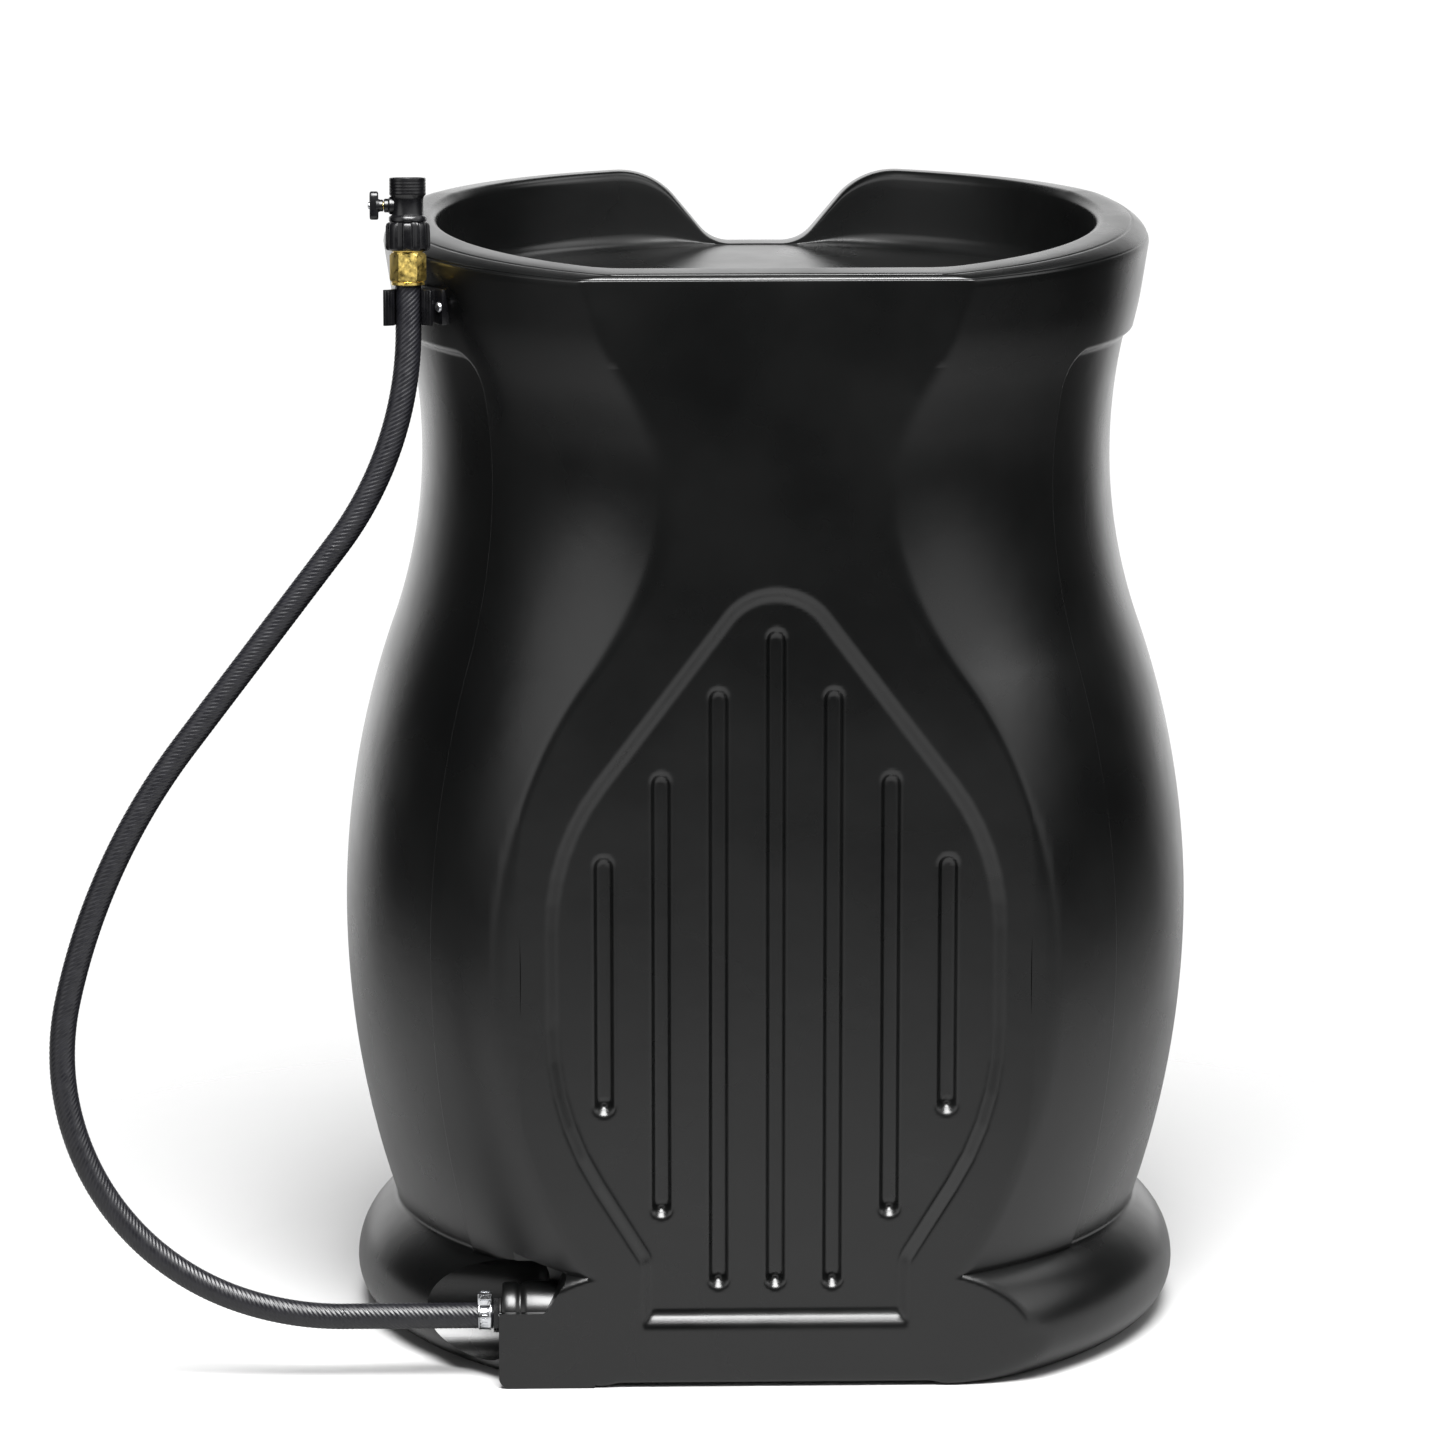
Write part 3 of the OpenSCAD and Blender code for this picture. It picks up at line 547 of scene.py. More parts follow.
def hollow_lathe(name, profile, segments=96, swell=None):
    """Turned ring from a closed profile of (radius, height); swell(angle, radius, height) changes the radius."""
    a = np.linspace(0, 2 * math.pi, segments, endpoint=False)
    rings = []
    for radius, height in profile:
        r = np.full(segments, float(radius)) if swell is None else swell(a, radius, height)
        rings.append(np.column_stack([r * np.cos(a), r * np.sin(a), np.full(segments, float(height))]))
    return closed_tube(name, rings)


def block(name, low, high, width=0.6):
    """Box between two corners with rounded edges."""
    outline = [(low[0], low[2]), (high[0], low[2]), (high[0], high[2]), (low[0], high[2])]
    return bevel(prism(name, outline, low[1], high[1]), width)


def thick_line(points, thickness):
    """Closed outline of a line with a thickness."""
    points = np.asarray(points, float)
    along = np.gradient(points, axis=0)
    along /= np.linalg.norm(along, axis=1)[:, None]
    side = np.column_stack([-along[:, 1], along[:, 0]]) * thickness / 2
    return np.vstack([points + side, (points - side)[::-1]])


def stand_in(piece, node, material):
    """Shows a piece in place of a CAD node, on the node's own body and in its material slot."""
    paint(piece, material)
    piece.data.polygons.foreach_set("use_smooth", [True] * len(piece.data.polygons))
    piece.data.set_sharp_from_angle(angle=math.radians(38))
    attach(piece, body_of(frame["nodes"][node])[0])
    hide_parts(node)
    return piece


# ---------------------------------------------------------------- hose
def run_points(start, heading, run, step):
    """Centre points and headings along one run of the hose, and where it ends."""
    length, radius, turn = run
    if radius == 0:
        along = np.append(np.arange(0, length, step), length)
        headings = np.full(len(along), float(heading))
        direction = np.array([math.cos(math.radians(heading)), math.sin(math.radians(heading))])
        return start + along[:, None] * direction, headings
    count = max(2, int(abs(math.radians(turn)) * radius / step))
    headings = heading - turn * np.linspace(0, 1, count + 1)
    side = math.copysign(radius, turn)
    toward = np.column_stack([np.sin(np.radians(headings)), -np.cos(np.radians(headings))])
    return start + side * toward[0] - side * toward, headings


def hose_stations(step):
    """Centre line of the whole hose in the hose plane, with the heading at each point."""
    reach, heading = np.zeros(2), 180.0
    for run in HOSE_RUNS:
        points, headings = run_points(reach, heading, run, step)
        reach, heading = points[-1], headings[-1]
    first = HOSE_START_X - COLUMN_X + reach[0]
    runs = [(first, 0, 0)] + HOSE_RUNS + [(HOSE_TOP - reach[1], 0, 0)]
    centres, turns = [], []
    spot, heading = np.array([HOSE_START_X, 0.0]), 180.0
    for run in runs:
        points, headings = run_points(spot, heading, run, step)
        centres.append(points[:-1])
        turns.append(headings[:-1])
        spot, heading = points[-1], headings[-1]
    return np.vstack(centres + [spot[None]]), np.concatenate(turns + [[heading]])


def hose_ring(centre, heading, radius, angles):
    """One ring of the hose in the hose plane."""
    h = math.radians(heading)
    out = radius * np.cos(angles)
    return np.column_stack([centre[0] - out * math.sin(h), radius * np.sin(angles), centre[1] + out * math.cos(h)])


def build_hose():
    """Rubber hose with a fine twisted rib moulded into its surface."""
    step, columns, starts, pitch, rib = 0.75, 84, 14, 3.6, 0.3
    centres, headings = hose_stations(step)
    angles = np.linspace(0, 2 * math.pi, columns, endpoint=False)
    rings = []
    for i, (centre, heading) in enumerate(zip(centres, headings)):
        phase = starts * angles + 2 * math.pi * i * step / pitch
        end = min(i, len(centres) - 1 - i) * step
        crest = rib * (np.sin(phase) - 1) * smoothstep(0, 6, end)
        rings.append(hose_ring(centre, heading, HOSE_R + crest - 0.5 * max(0, 1 - end), angles))
    for centre, heading in list(zip(centres, headings))[::-10]:
        rings.append(hose_ring(centre, heading, HOSE_BORE_R, angles))
    hose = closed_tube("hose_rubber_tube", rings)
    return place(hose, HOSE_PLANE)


# ---------------------------------------------------------------- fittings on the hose column
def build_nut():
    """Swivel nut with eight finger lobes and chamfered ends."""
    low, lip, high = 780.6, 797.5, 801
    chamfer = 1.6
    profile = [(13.6, low), (15.1, low + 0.4), (16.2, low + chamfer), (16.3, low + 4), (16.1, high - 7),
               (15.9, high - chamfer - 1), (15.2, high - 0.8), (13.8, high), (9.7, high), (9.7, lip), (13.3, lip),
               (13.3, low + 1)]

    def lobes(angle, radius, height):
        depth = 1.5 * smoothstep(14.6, 15.6, radius)
        return radius - depth * smoothstep(-0.2, 0.7, -np.cos(8 * angle))
    nut = hollow_lathe("nut_lobed_ring", profile, 192, lobes)
    return place(nut, on_column(0))


def build_coupling():
    """Brass barb coupling: barb in the hose, flange, chamfered hexagon and male thread."""
    low, high, top = 758.5, 779, 792
    flats = [(13.2 * math.cos(math.radians(a)), 13.2 * math.sin(math.radians(a))) for a in range(0, 360, 60)]
    hexagon = place(prism("coupling_body", flats, -high, -low), UPRIGHT)
    cone = [(0, low - 1), (11.2, low - 1), (13.4, low + 1.3), (13.4, high - 2.2), (12.2, high - 0.6), (12.2, high + 1),
            (0, high + 1)]
    bevel(boolean(hexagon, solid_lathe("cone", cone), "INTERSECT"), 0.45)
    barb = [(0, 735), (5.4, 735), (6.2, 739), (5.6, 739.5), (6.2, 744), (5.6, 744.5), (6.2, 749), (5.7, 749.5),
            (5.7, 755.6), (11.4, 755.6), (12, 756.1), (12, 758.0), (11.4, 758.4), (10.8, 758.6), (10.8, 780)]
    for k in range(5):
        barb += [(12.4, 780.2 + 2.3 * k), (13.1, 781.2 + 2.3 * k), (12.4, 782.2 + 2.3 * k)]
    barb += [(12.4, top), (0, top)]
    boolean(hexagon, solid_lathe("barb", barb), "UNION")
    boolean(hexagon, solid_lathe("bore", [(0, 730), (4.6, 730), (4.6, 800), (0, 800)]), "DIFFERENCE")
    return place(hexagon, on_column(0))


def build_valve():
    """Valve body: collar, waist round the ball, gland for the stem and a wide threaded mouth."""
    profile = [(9.5, 801.3), (12.9, 801.3), (13.6, 802), (13.6, 804.6), (12.9, 805.5), (11.6, 806.2), (11.3, 807.5),
               (11.3, 817.5), (11.8, 819.4), (12.9, 820.5), (13.22, 821.2)]
    for k in range(4):
        profile += [(13.22, 822.2 + 2.3 * k), (13.08, 823.0 + 2.3 * k), (13.08, 823.4 + 2.3 * k), (13.22, 824.2 + 2.3 * k)]
    profile += [(13.1, 832.6), (12.7, 833), (11.4, 833), (10.6, 832.2), (10, 831), (10, 825), (6.5, 825), (6.5, 820),
                (8.3, 820), (8.3, 805), (9.5, 805)]
    body = hollow_lathe("valve_body_shell", profile)
    gland = [(0, 9.6), (6.4, 9.6), (6.4, 12.8), (5.6, 13.4), (5, 14), (5, 16.4), (4.5, 17), (0, 17)]
    turn = Matrix.Rotation(math.radians(-90), 4, "Y")
    spot = Matrix.Translation((0, 0, BALL_HEIGHT)) @ turn
    boolean(body, place(solid_lathe("gland", gland, 64), spot), "UNION")
    boolean(body, place(solid_lathe("way", [(0, 7), (2.95, 7), (2.95, 20), (0, 20)], 64), spot), "DIFFERENCE")
    return place(body, on_column(0))


def build_handle():
    """Tee handle: round hub and a thick rounded bar with a dished face."""
    near, far, half, width = 21, 27.3, 10.25, 8
    bar = rounded_outline([(-half, -width / 2, 3.9), (half, -width / 2, 3.9), (half, width / 2, 3.9),
                           (-half, width / 2, 3.9)], step=15)
    handle = bevel(place(prism("handle_tee", bar, -far, -near), UPRIGHT), 1.3, 3)
    hub = [(0, 17.4), (3.8, 17.4), (4.3, 17.9), (4.3, 19.6), (4.7, 20.6), (5.4, 22.5), (0, 22.5)]
    boolean(handle, solid_lathe("hub", hub, 64), "UNION")
    boolean(handle, solid_lathe("socket", [(0, 16.4), (2.9, 16.4), (2.9, 26.3), (1.3, 26.3), (1.3, 30), (0, 30)], 64),
            "DIFFERENCE")
    for side in (-1, 1):
        dish = solid_lathe("dish", [(0, far - 0.7), (2.2, far - 0.5), (3, far + 1), (0, far + 1)], 48)
        boolean(handle, place(dish, Matrix.Translation((side * 6.4, 0, 0))), "DIFFERENCE")
    return place(handle, on_stem(0))


def screw(name, radius, head_r, head_t, length):
    """Pan-head screw along Z with a cross recess; the head starts at height 0 and the shank goes down."""
    profile = [(0, -length), (0.4 * radius, -length), (radius, -length + 1.2)]
    turns = int((length - 2.4) / 0.9)
    for k in range(turns):
        profile += [(radius, -length + 1.4 + 0.9 * k), (0.8 * radius, -length + 1.8 + 0.9 * k)]
    profile += [(radius, -0.6), (radius, 0), (head_r, 0), (head_r, 0.35 * head_t), (0.86 * head_r, 0.75 * head_t),
                (0.5 * head_r, 0.97 * head_t), (0, head_t)]
    made = solid_lathe(name, profile, 48)
    slot = 0.22 * head_r
    for turn in (0, 90):
        cut = block("cut", (-0.62 * head_r, -slot / 2, 0.45 * head_t), (0.62 * head_r, slot / 2, 2 * head_t), 0.05)
        boolean(made, place(cut, Matrix.Rotation(math.radians(turn), 4, "Z")), "DIFFERENCE")
    return made


# ---------------------------------------------------------------- clip and clamp
def clip_frame():
    """Frame at the middle of the clip whose X points at the barrel's axis."""
    middle = on_column((CLIP_LOW + CLIP_HIGH) / 2).translation
    turn = Matrix.Rotation(math.atan2(-middle.y, -COLUMN_X), 4, "Z")
    return Matrix.Translation(middle) @ turn


def build_clip():
    """Spring clip with flared, ribbed lips and a screwed saddle on the collar."""
    height = CLIP_HIGH - CLIP_LOW
    middle = HOSE_R + 0.1 + CLIP_T / 2
    arm, lip = 8.0, 6.0
    line = [(-middle - lip, -arm - lip, 0), (-middle, -arm, 2), (-middle, 0, 0.5)]
    top = arc((0, 0), middle, 180, 0, 24)
    left = rounded_outline(line, closed=False, step=12)[:-1]
    centre = np.vstack([left, top, (left * [-1, 1])[::-1]])
    body = place(prism("clip_saddle", thick_line(centre, CLIP_T), -CLIP_HIGH, -CLIP_LOW), UPRIGHT)
    fix_normals(body)
    bevel(body, 0.5)
    place(body, on_column(0))
    ribs = []
    for side in (-1, 1):
        for k in range(3):
            x = side * (middle + 1.3 + 1.9 * k)
            y = -arm - 1.6 - 1.9 * k
            ribs.append(place(block("rib", (x - 0.5, y - 1.6, CLIP_LOW + 1), (x + 0.5, y + 0.6, CLIP_HIGH - 1), 0.3),
                              on_column(0)))
    spot = clip_frame()
    web = block("web", (HOSE_R + 1, -6, -height / 2 + 1), (HOSE_R + 14, 6, height / 2 - 1), 0.8)
    plate = block("plate", (SADDLE_X, -16.5, -height / 2), (SADDLE_X + 8, 16.5, height / 2), 1.2)
    for piece in ribs + [place(web, spot), place(plate, spot)]:
        boolean(body, piece, "UNION")
    bore = solid_lathe("bore", [(0, CLIP_LOW - 9), (HOSE_R + 0.1, CLIP_LOW - 9), (HOSE_R + 0.1, CLIP_HIGH + 9),
                                (0, CLIP_HIGH + 9)])
    boolean(body, place(bore, on_column(0)), "DIFFERENCE")
    cone = solid_lathe("cone", [(0, 700), (float(collar_radius(700)) + 0.15, 700),
                                (float(collar_radius(814)) + 0.15, 814), (0, 814)], 256)
    return boolean(body, cone, "DIFFERENCE")


def build_clamp_band():
    """Worm-drive band with curled edges and slots for the worm."""
    low, wide, inner, thick = -217, 9, HOSE_R, 0.9
    profile = [(inner, 0), (inner + thick + 0.25, 0), (inner + thick + 0.3, 0.5), (inner + thick, 0.9),
               (inner + thick, wide - 0.9), (inner + thick + 0.3, wide - 0.5), (inner + thick + 0.25, wide),
               (inner, wide)]
    band = hollow_lathe("band_ring", profile)
    for k in range(24):
        slot = block("slot", (inner + 0.35, -0.45, 2.2), (inner + 3, 0.45, wide - 2.2), 0.2)
        boolean(band, place(slot, Matrix.Rotation(math.radians(15 * k + 4), 4, "Z")), "DIFFERENCE")
    return along_x(band, low + wide, OUTLET_Y, OUTLET_Z)


def worm_frame():
    """Frame on the clamp's worm, its Z pointing away from the flat back."""
    lift = HOSE_R + 0.9 + WORM_R + 0.6
    return HOSE_PLANE @ Matrix.Translation((-212.5, 0, lift)) @ Matrix.Rotation(math.radians(-90), 4, "X")


def build_clamp_housing():
    """Pressed housing that holds the worm on the band."""
    side = 2 * (WORM_R + 1.2)
    cover = block("housing_cover", (-5.3, -side / 2, -6), (5.3, side / 2 + 2, 6), 1.1)
    place(cover, worm_frame())
    hole = place(solid_lathe("hole", [(0, -20), (WORM_R + 0.05, -20), (WORM_R + 0.05, 20), (0, 20)], 64), worm_frame())
    boolean(cover, hole, "DIFFERENCE")
    window = block("window", (-3.4, -side, -3.6), (3.4, -WORM_R * 0.6, 3.6), 0.5)
    boolean(cover, place(window, worm_frame()), "DIFFERENCE")
    rod = solid_lathe("rod", [(0, -9), (HOSE_R + 0.95, -9), (HOSE_R + 0.95, 20), (0, 20)])
    return boolean(cover, along_x(rod, -212.5 + 5, OUTLET_Y, OUTLET_Z), "DIFFERENCE")


def build_clamp_screw():
    """Worm with its thread ridges and a slotted hexagon head."""
    profile = [(0, 8), (1.6, 8), (WORM_R - 0.2, 7.2)]
    for k in range(8):
        profile += [(WORM_R, 6.6 - 1.7 * k), (WORM_R - 0.7, 5.8 - 1.7 * k)]
    profile += [(WORM_R, -7.2), (WORM_R, -8), (0, -8)]
    worm = solid_lathe("worm", profile[::-1], 48)
    flats = [(4.2 * math.cos(math.radians(a)), 4.2 * math.sin(math.radians(a))) for a in range(0, 360, 60)]
    head = bevel(place(prism("head", flats, 7, 10.5), UPRIGHT), 0.5)
    boolean(worm, head, "UNION")
    slot = block("slot", (-5, -0.5, -12), (5, 0.5, -9.6), 0.1)
    boolean(worm, slot, "DIFFERENCE")
    worm.name = "worm_screw"
    return place(worm, worm_frame())


# ---------------------------------------------------------------- debris basket
def build_basket():
    """Moulded basket: rounded flange, tapered skirt, spoked floor and two finger tabs."""
    skirt = INLET_R - 1.5
    low = DECK_Z - BASKET_DEPTH
    profile = [(skirt - 6, low), (skirt - 1, low), (skirt, low + 1), (skirt, DECK_Z - 1), (skirt + 0.6, DECK_Z + 0.1),
               (INLET_R + 11, DECK_Z + 0.1), (INLET_R + 12, DECK_Z + 1), (INLET_R + 11.6, DECK_Z + 2.3),
               (INLET_R + 10, DECK_Z + 3), (skirt + 0.4, DECK_Z + 3), (skirt - 1.4, DECK_Z + 2.2),
               (skirt - 2.5, DECK_Z + 0.4), (skirt - 2.5, low + 2), (skirt - 6, low + 2)]
    basket = hollow_lathe("basket_moulding", profile, 160)
    for turn in (0, 60, 120):
        spoke = block("spoke", (4 - skirt, -2, low), (skirt - 4, 2, low + 2), 0.4)
        boolean(basket, place(spoke, Matrix.Rotation(math.radians(turn), 4, "Z")), "UNION")
    for side in (-1, 1):
        tab = block("tab", (side * (INLET_R + 4) - 2, -11, DECK_Z + 1.5), (side * (INLET_R + 4) + 2, 11, DECK_Z + 9), 1.4)
        boolean(basket, tab, "UNION")
    return basket


def build_mesh():
    """Woven wire screen clamped at its edge by a ring."""
    pitch, wire, reach = 5.0, 0.42, INLET_R - 4.3
    level = DECK_Z - BASKET_DEPTH + 2.55
    a = np.linspace(0, 2 * math.pi, 6, endpoint=False)
    vertices, faces = [], []
    for across in (False, True):
        for i in range(-12, 13):
            offset = i * pitch
            half = math.sqrt(max(reach**2 - offset**2, 0))
            if half < 8:
                continue
            along = np.arange(-half, half, pitch / 5)
            sway = math.pi * (along / pitch + i + (1 if across else 0))
            height = level + 0.36 * np.cos(sway)
            rings = [np.column_stack([np.full(6, t), offset + wire * np.cos(a), h + wire * np.sin(a)])
                     for t, h in zip(along, height)]
            strand = np.vstack(rings)
            strand = strand[:, [1, 0, 2]] if across else strand
            start = sum(len(v) for v in vertices)
            faces += [[start + k for k in quad] for quad in grid_faces(len(rings), 6)]
            faces += [[start + k for k in range(5, -1, -1)], [start + len(strand) - 6 + k for k in range(6)]]
            vertices.append(strand)
    ring = [(reach - 0.6, level - 0.5), (reach + 0.2, level - 0.5), (reach + 0.2, level + 0.5), (reach - 0.6, level + 0.5)]
    b = np.linspace(0, 2 * math.pi, 96, endpoint=False)
    start = sum(len(v) for v in vertices)
    for r, h in ring:
        vertices.append(np.column_stack([r * np.cos(b), r * np.sin(b), np.full(96, h)]))
    faces += [[start + k for k in quad] for quad in grid_faces(4, 96)]
    faces += [[start + 288 + j, start + 288 + (j + 1) % 96, start + (j + 1) % 96, start + j] for j in range(96)]
    made = mesh_object("screen_wires", np.vstack(vertices), faces)
    fix_normals(made)
    return made


# ---------------------------------------------------------------- materials
class Nodes:
    """Short calls for building a node material."""

    def __init__(self, name):
        self.material = bpy.data.materials.new(name)
        self.material.use_nodes = True
        self.tree = self.material.node_tree
        self.shader = self.tree.nodes["Principled BSDF"] if "Principled BSDF" in self.tree.nodes else None
        if self.shader is None:
            self.shader = self.tree.nodes.new("ShaderNodeBsdfPrincipled")
            output = self.tree.nodes.new("ShaderNodeOutputMaterial")
            self.tree.links.new(self.shader.outputs[0], output.inputs[0])
        self.coordinates = self.tree.nodes.new("ShaderNodeTexCoord")

    def link(self, source, target):
        self.tree.links.new(source, target)

    def set(self, name, value):
        self.shader.inputs[name].default_value = value

    def noise(self, scale, detail=3.0, roughness=0.5, stretch=(1, 1, 1)):
        mapping = self.tree.nodes.new("ShaderNodeMapping")
        mapping.inputs["Scale"].default_value = stretch
        self.link(self.coordinates.outputs["Object"], mapping.inputs["Vector"])
        node = self.tree.nodes.new("ShaderNodeTexNoise")
        node.inputs["Scale"].default_value = scale
        node.inputs["Detail"].default_value = detail
        node.inputs["Roughness"].default_value = roughness
        self.link(mapping.outputs[0], node.inputs["Vector"])
        return node.outputs["Fac"]

    def spread(self, source, low, high, start=0.3, end=0.7):
        """Maps a 0..1 value on to low..high."""
        node = self.tree.nodes.new("ShaderNodeMapRange")
        node.inputs["From Min"].default_value = start
        node.inputs["From Max"].default_value = end
        node.inputs["To Min"].default_value = low
        node.inputs["To Max"].default_value = high
        self.link(source, node.inputs["Value"])
        return node.outputs["Result"]

    def mix(self, factor, a, b):
        node = self.tree.nodes.new("ShaderNodeMix")
        node.data_type = "RGBA"
        node.inputs["A"].default_value = (*a, 1)
        node.inputs["B"].default_value = (*b, 1)
        self.link(factor, node.inputs["Factor"])
        return node.outputs["Result"]

    def bump(self, height, distance, strength=1.0, under=None):
        node = self.tree.nodes.new("ShaderNodeBump")
        node.inputs["Distance"].default_value = distance
        node.inputs["Strength"].default_value = strength
        self.link(height, node.inputs["Height"])
        if under is not None:
            self.link(under, node.inputs["Normal"])
        return node.outputs["Normal"]


def moulded_plastic():
    """Satin black polyethylene with a fine moulded grain and slight cloudy sheen."""
    m = Nodes("moulded_black_plastic")
    m.link(m.mix(m.spread(m.noise(5), 0, 1), (0.0008, 0.0009, 0.0009), (0.0012, 0.0013, 0.0013)),
           m.shader.inputs["Base Color"])
    m.link(m.spread(m.noise(9, 4), 0.24, 0.34), m.shader.inputs["Roughness"])
    m.set("IOR", 1.51)
    wave = m.bump(m.noise(28, 2), 0.0006, 0.35)
    m.link(m.bump(m.noise(900, 3), 0.00005, 0.8, wave), m.shader.inputs["Normal"])
    return m.material


def injection_plastic(name, colour, roughness):
    """Harder black plastic with light scuffs."""
    m = Nodes(name)
    light = tuple(min(1, c * 1.7) for c in colour)
    m.link(m.mix(m.spread(m.noise(160, 4), 0, 1, 0.45, 0.75), colour, light), m.shader.inputs["Base Color"])
    m.link(m.spread(m.noise(90, 5), roughness - 0.05, roughness + 0.1), m.shader.inputs["Roughness"])
    m.link(m.bump(m.noise(1500, 3), 0.00003, 0.7), m.shader.inputs["Normal"])
    return m.material


def rubber(name, colour):
    m = Nodes(name)
    m.link(m.mix(m.spread(m.noise(220, 4), 0, 1), colour, tuple(c * 1.6 for c in colour)),
           m.shader.inputs["Base Color"])
    m.link(m.spread(m.noise(140), 0.3, 0.45), m.shader.inputs["Roughness"])
    m.link(m.bump(m.noise(1800, 2), 0.00004, 0.6), m.shader.inputs["Normal"])
    return m.material


def metal(name, colour, darker, roughness, stretch=(1, 1, 1), dents=0.6):
    """Metal with fine tool marks and faint tarnish."""
    m = Nodes(name)
    m.link(m.mix(m.spread(m.noise(120, 5), 0, 1), darker, colour), m.shader.inputs["Base Color"])
    m.set("Metallic", 1.0)
    m.link(m.spread(m.noise(300, 4, stretch=stretch), roughness * 0.7, roughness * 1.4), m.shader.inputs["Roughness"])
    m.link(m.bump(m.noise(700, 3, stretch=stretch), 0.00002, dents), m.shader.inputs["Normal"])
    return m.material


def paint(piece, material):
    piece.data.materials.clear()
    piece.data.materials.append(material)
    return piece


# ---------------------------------------------------------------- studio
ROOM = 0.04
BACKDROP = [(0.64, 0.93), (0.28, 0.5), 1.9]
SIDE_LIGHTS = [((-0.82, -0.5, 0.29), (0.89, 0.98), 1.8), ((0.82, -0.5, 0.29), (0.89, 0.98), 1.3),
               ((0.85, -0.11, 0.52), (0.94, 0.985), 2.2), ((0.54, 0.29, 0.785), (0.96, 0.99), 2.6)]


def build_floor():
    """Pale floor that fades into the white backdrop away from the object."""
    size = 4.0
    mesh = bpy.data.meshes.new("studio_floor")
    corners = [(-size, -size, 0), (size, -size, 0), (size, size, 0), (-size, size, 0)]
    mesh.from_pydata(corners, [], [(0, 1, 2, 3)])
    floor = bpy.data.objects.new("studio_floor", mesh)
    bpy.context.scene.collection.objects.link(floor)
    m = Nodes("pale_floor")
    path = m.tree.nodes.new("ShaderNodeLightPath")
    m.link(m.mix(path.outputs["Is Camera Ray"], (0.3, 0.3, 0.3), (0.55, 0.55, 0.55)), m.shader.inputs["Base Color"])
    m.link(m.spread(m.noise(3), 0.6, 0.75), m.shader.inputs["Roughness"])
    distance = m.tree.nodes.new("ShaderNodeVectorMath")
    distance.operation = "LENGTH"
    m.link(m.coordinates.outputs["Object"], distance.inputs[0])
    seen = m.spread(distance.outputs["Value"], 1, 0, 0.42, 1.0)
    mirrored = m.spread(distance.outputs["Value"], 1, 0, 0.9, 2.4)
    share = m.tree.nodes.new("ShaderNodeMix")
    m.link(path.outputs["Is Camera Ray"], share.inputs["Factor"])
    m.link(mirrored, share.inputs["A"])
    m.link(seen, share.inputs["B"])
    m.link(share.outputs["Result"], m.shader.inputs["Alpha"])
    floor.data.materials.append(m.material)
    return floor


def ramp(tree, source, from_low, from_high, to_low, to_high):
    """Smooth ramp of a value."""
    node = tree.nodes.new("ShaderNodeMapRange")
    node.interpolation_type = "SMOOTHSTEP"
    for name, value in zip(("From Min", "From Max", "To Min", "To Max"), (from_low, from_high, to_low, to_high)):
        node.inputs[name].default_value = value
    tree.links.new(source, node.inputs["Value"])
    return node.outputs["Result"]


def product(tree, a, b):
    node = tree.nodes.new("ShaderNodeMath")
    node.operation = "MULTIPLY"
    tree.links.new(a, node.inputs[0])
    tree.links.new(b, node.inputs[1])
    return node.outputs[0]


def facing(tree, direction, aim):
    """Cosine of the angle between a direction and the way a light lies."""
    node = tree.nodes.new("ShaderNodeVectorMath")
    node.operation = "DOT_PRODUCT"
    tree.links.new(direction, node.inputs[0])
    node.inputs[1].default_value = Vector(aim).normalized()
    return node.outputs["Value"]


def build_world():
    """White for the camera; for reflections a dim room, a bright backdrop and soft lights on both sides."""
    world = bpy.data.worlds.new("studio")
    bpy.context.scene.world = world
    world.use_nodes = True
    tree = world.node_tree
    tree.nodes.clear()
    direction = tree.nodes.new("ShaderNodeTexCoord").outputs["Generated"]
    split = tree.nodes.new("ShaderNodeSeparateXYZ")
    tree.links.new(direction, split.inputs[0])
    side, height, level = BACKDROP
    glows = [product(tree, ramp(tree, split.outputs["Y"], *side, 0, level), ramp(tree, split.outputs["Z"], *height, 1, 0))]
    glows += [ramp(tree, facing(tree, direction, aim), *edge, 0, power) for aim, edge, power in SIDE_LIGHTS]
    lit = tree.nodes.new("ShaderNodeBackground")
    total = None
    for glow in glows:
        node = tree.nodes.new("ShaderNodeMath")
        node.inputs[1].default_value = ROOM
        tree.links.new(glow, node.inputs[0])
        if total:
            tree.links.new(total, node.inputs[1])
        total = node.outputs[0]
    tree.links.new(total, lit.inputs["Strength"])
    seen = tree.nodes.new("ShaderNodeBackground")
    seen.inputs["Color"].default_value = (1, 1, 1, 1)
    seen.inputs["Strength"].default_value = 1.05
    path = tree.nodes.new("ShaderNodeLightPath")
    choose = tree.nodes.new("ShaderNodeMixShader")
    tree.links.new(path.outputs["Is Camera Ray"], choose.inputs["Fac"])
    tree.links.new(lit.outputs[0], choose.inputs[1])
    tree.links.new(seen.outputs[0], choose.inputs[2])
    output = tree.nodes.new("ShaderNodeOutputWorld")
    tree.links.new(choose.outputs[0], output.inputs[0])


def add_softbox(name, position, target, size, power):
    light = bpy.data.lights.new(name, "AREA")
    light.shape = "RECTANGLE"
    light.size, light.size_y = size
    light.energy = power
    lamp = bpy.data.objects.new(name, light)
    lamp.location = position
    lamp.rotation_mode = "QUATERNION"
    lamp.rotation_quaternion = (Vector(target) - Vector(position)).to_track_quat("-Z", "Y")
    bpy.context.scene.collection.objects.link(lamp)
    return lamp


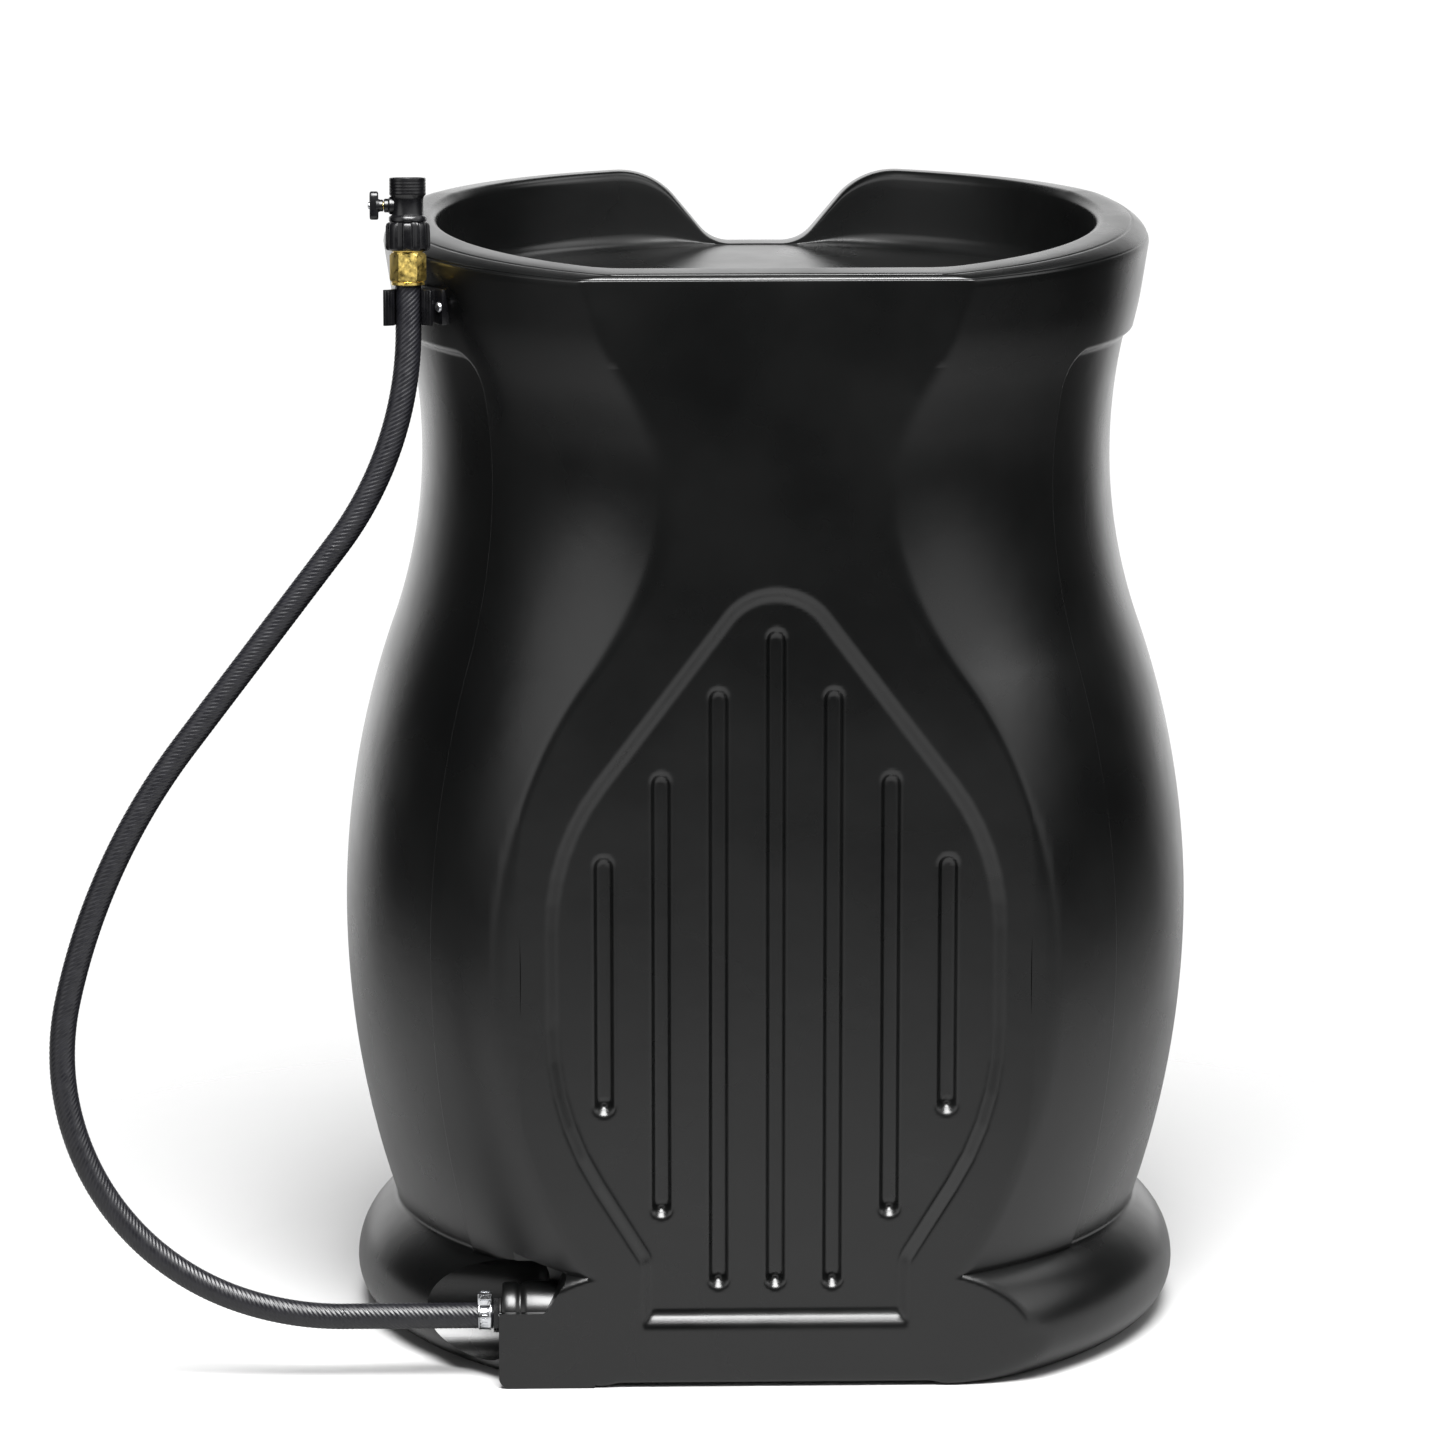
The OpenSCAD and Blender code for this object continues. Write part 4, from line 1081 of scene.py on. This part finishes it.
def build_camera():
    """Camera behind the flat back, a little above the rim."""
    distance, elevation, turn = 4.826, math.radians(11.879), math.radians(1.868)
    target = Vector((0, 0, 0.419))
    back = Vector((-math.sin(turn) * math.cos(elevation), -math.cos(turn) * math.cos(elevation), math.sin(elevation)))
    right = Vector((math.cos(turn), -math.sin(turn), 0))
    up = right.cross(-back)
    aim = target + distance * (0.005452 * up - 0.006721 * right)
    camera = bpy.data.objects.new("camera", bpy.data.cameras.new("camera"))
    camera.data.sensor_width = 36
    camera.data.lens = 158.83
    camera.data.clip_end = 100
    camera.location = target + distance * back
    camera.rotation_mode = "QUATERNION"
    camera.rotation_quaternion = (aim - camera.location).to_track_quat("-Z", "Y")
    bpy.context.scene.collection.objects.link(camera)
    bpy.context.scene.camera = camera


# ---------------------------------------------------------------- assembly
BLACK = moulded_plastic()
HARD_BLACK = injection_plastic("injection_black", (0.0014, 0.0014, 0.0018), 0.27)
SEAL = rubber("seal_black_rubber", (0.012, 0.012, 0.012))
HOSE_RUBBER = rubber("hose_black_rubber", (0.005, 0.005, 0.0065))
STEEL = metal("rolled_stainless", (0.78, 0.79, 0.81), (0.6, 0.61, 0.63), 0.2, (1, 1, 12))
ZINC = metal("zinc_plate", (0.62, 0.63, 0.65), (0.45, 0.46, 0.48), 0.32)
BRASS = metal("turned_brass", (0.86, 0.66, 0.2), (0.72, 0.52, 0.14), 0.34, dents=0.05)
PTFE = injection_plastic("seat_white", (0.8, 0.8, 0.77), 0.45)
STRAINER = metal("strainer_sheet", (0.4, 0.41, 0.43), (0.28, 0.29, 0.31), 0.4)

SLOT_MATERIALS = {
    "moulded_black": BLACK, "deep_black_plastic": HARD_BLACK, "hose_rubber": HOSE_RUBBER, "seal_rubber": SEAL,
    "stainless": STEEL, "zinc_screw": ZINC, "brass": BRASS, "seat_ptfe": PTFE, "strainer": STRAINER,
}
for part in frame["record"]["subparts"]:
    paint(frame["nodes"][part["node"]], SLOT_MATERIALS[part["material_slot"]])

barrel = stand_in(build_outlet(build_barrel()), "barrel_shell", BLACK)
barrel.data.set_sharp_from_angle(angle=math.radians(50))
stand_in(build_hose(), "hose", HOSE_RUBBER)
stand_in(build_nut(), "swivel_nut", HARD_BLACK)
stand_in(build_coupling(), "brass_coupling", BRASS)
stand_in(build_valve(), "valve_body", HARD_BLACK)
stand_in(build_handle(), "valve_handle", HARD_BLACK)
stand_in(place(screw("handle_fixing", 1.3, 2.6, 1.5, 5.6), on_stem(27.3)), "handle_screw", ZINC)
stand_in(build_clip(), "hose_clip", HARD_BLACK)
for number, side in enumerate((-1, 1)):
    inward = Matrix.Translation((SADDLE_X, side * CLIP_SCREW_Y, 0)) @ Matrix.Rotation(math.radians(-90), 4, "Y")
    fixing = place(screw(f"clip_fixing_{number}", 1.8, 3.6, 2, 12), clip_frame() @ inward)
    stand_in(fixing, "clip_screws", ZINC)
stand_in(build_clamp_band(), "clamp_band", STEEL)
stand_in(build_clamp_housing(), "clamp_housing", STEEL)
stand_in(build_clamp_screw(), "clamp_screw", STEEL)
stand_in(build_basket(), "screen_frame", HARD_BLACK)
stand_in(build_mesh(), "screen_mesh", STRAINER)

build_floor()
build_world()
add_softbox("overhead", (0.05, -1.3, 2.6), (0.05, -0.4, 0), (1.9, 1.7), 290)
build_camera()

bpy.context.scene.view_settings.view_transform = "Standard"
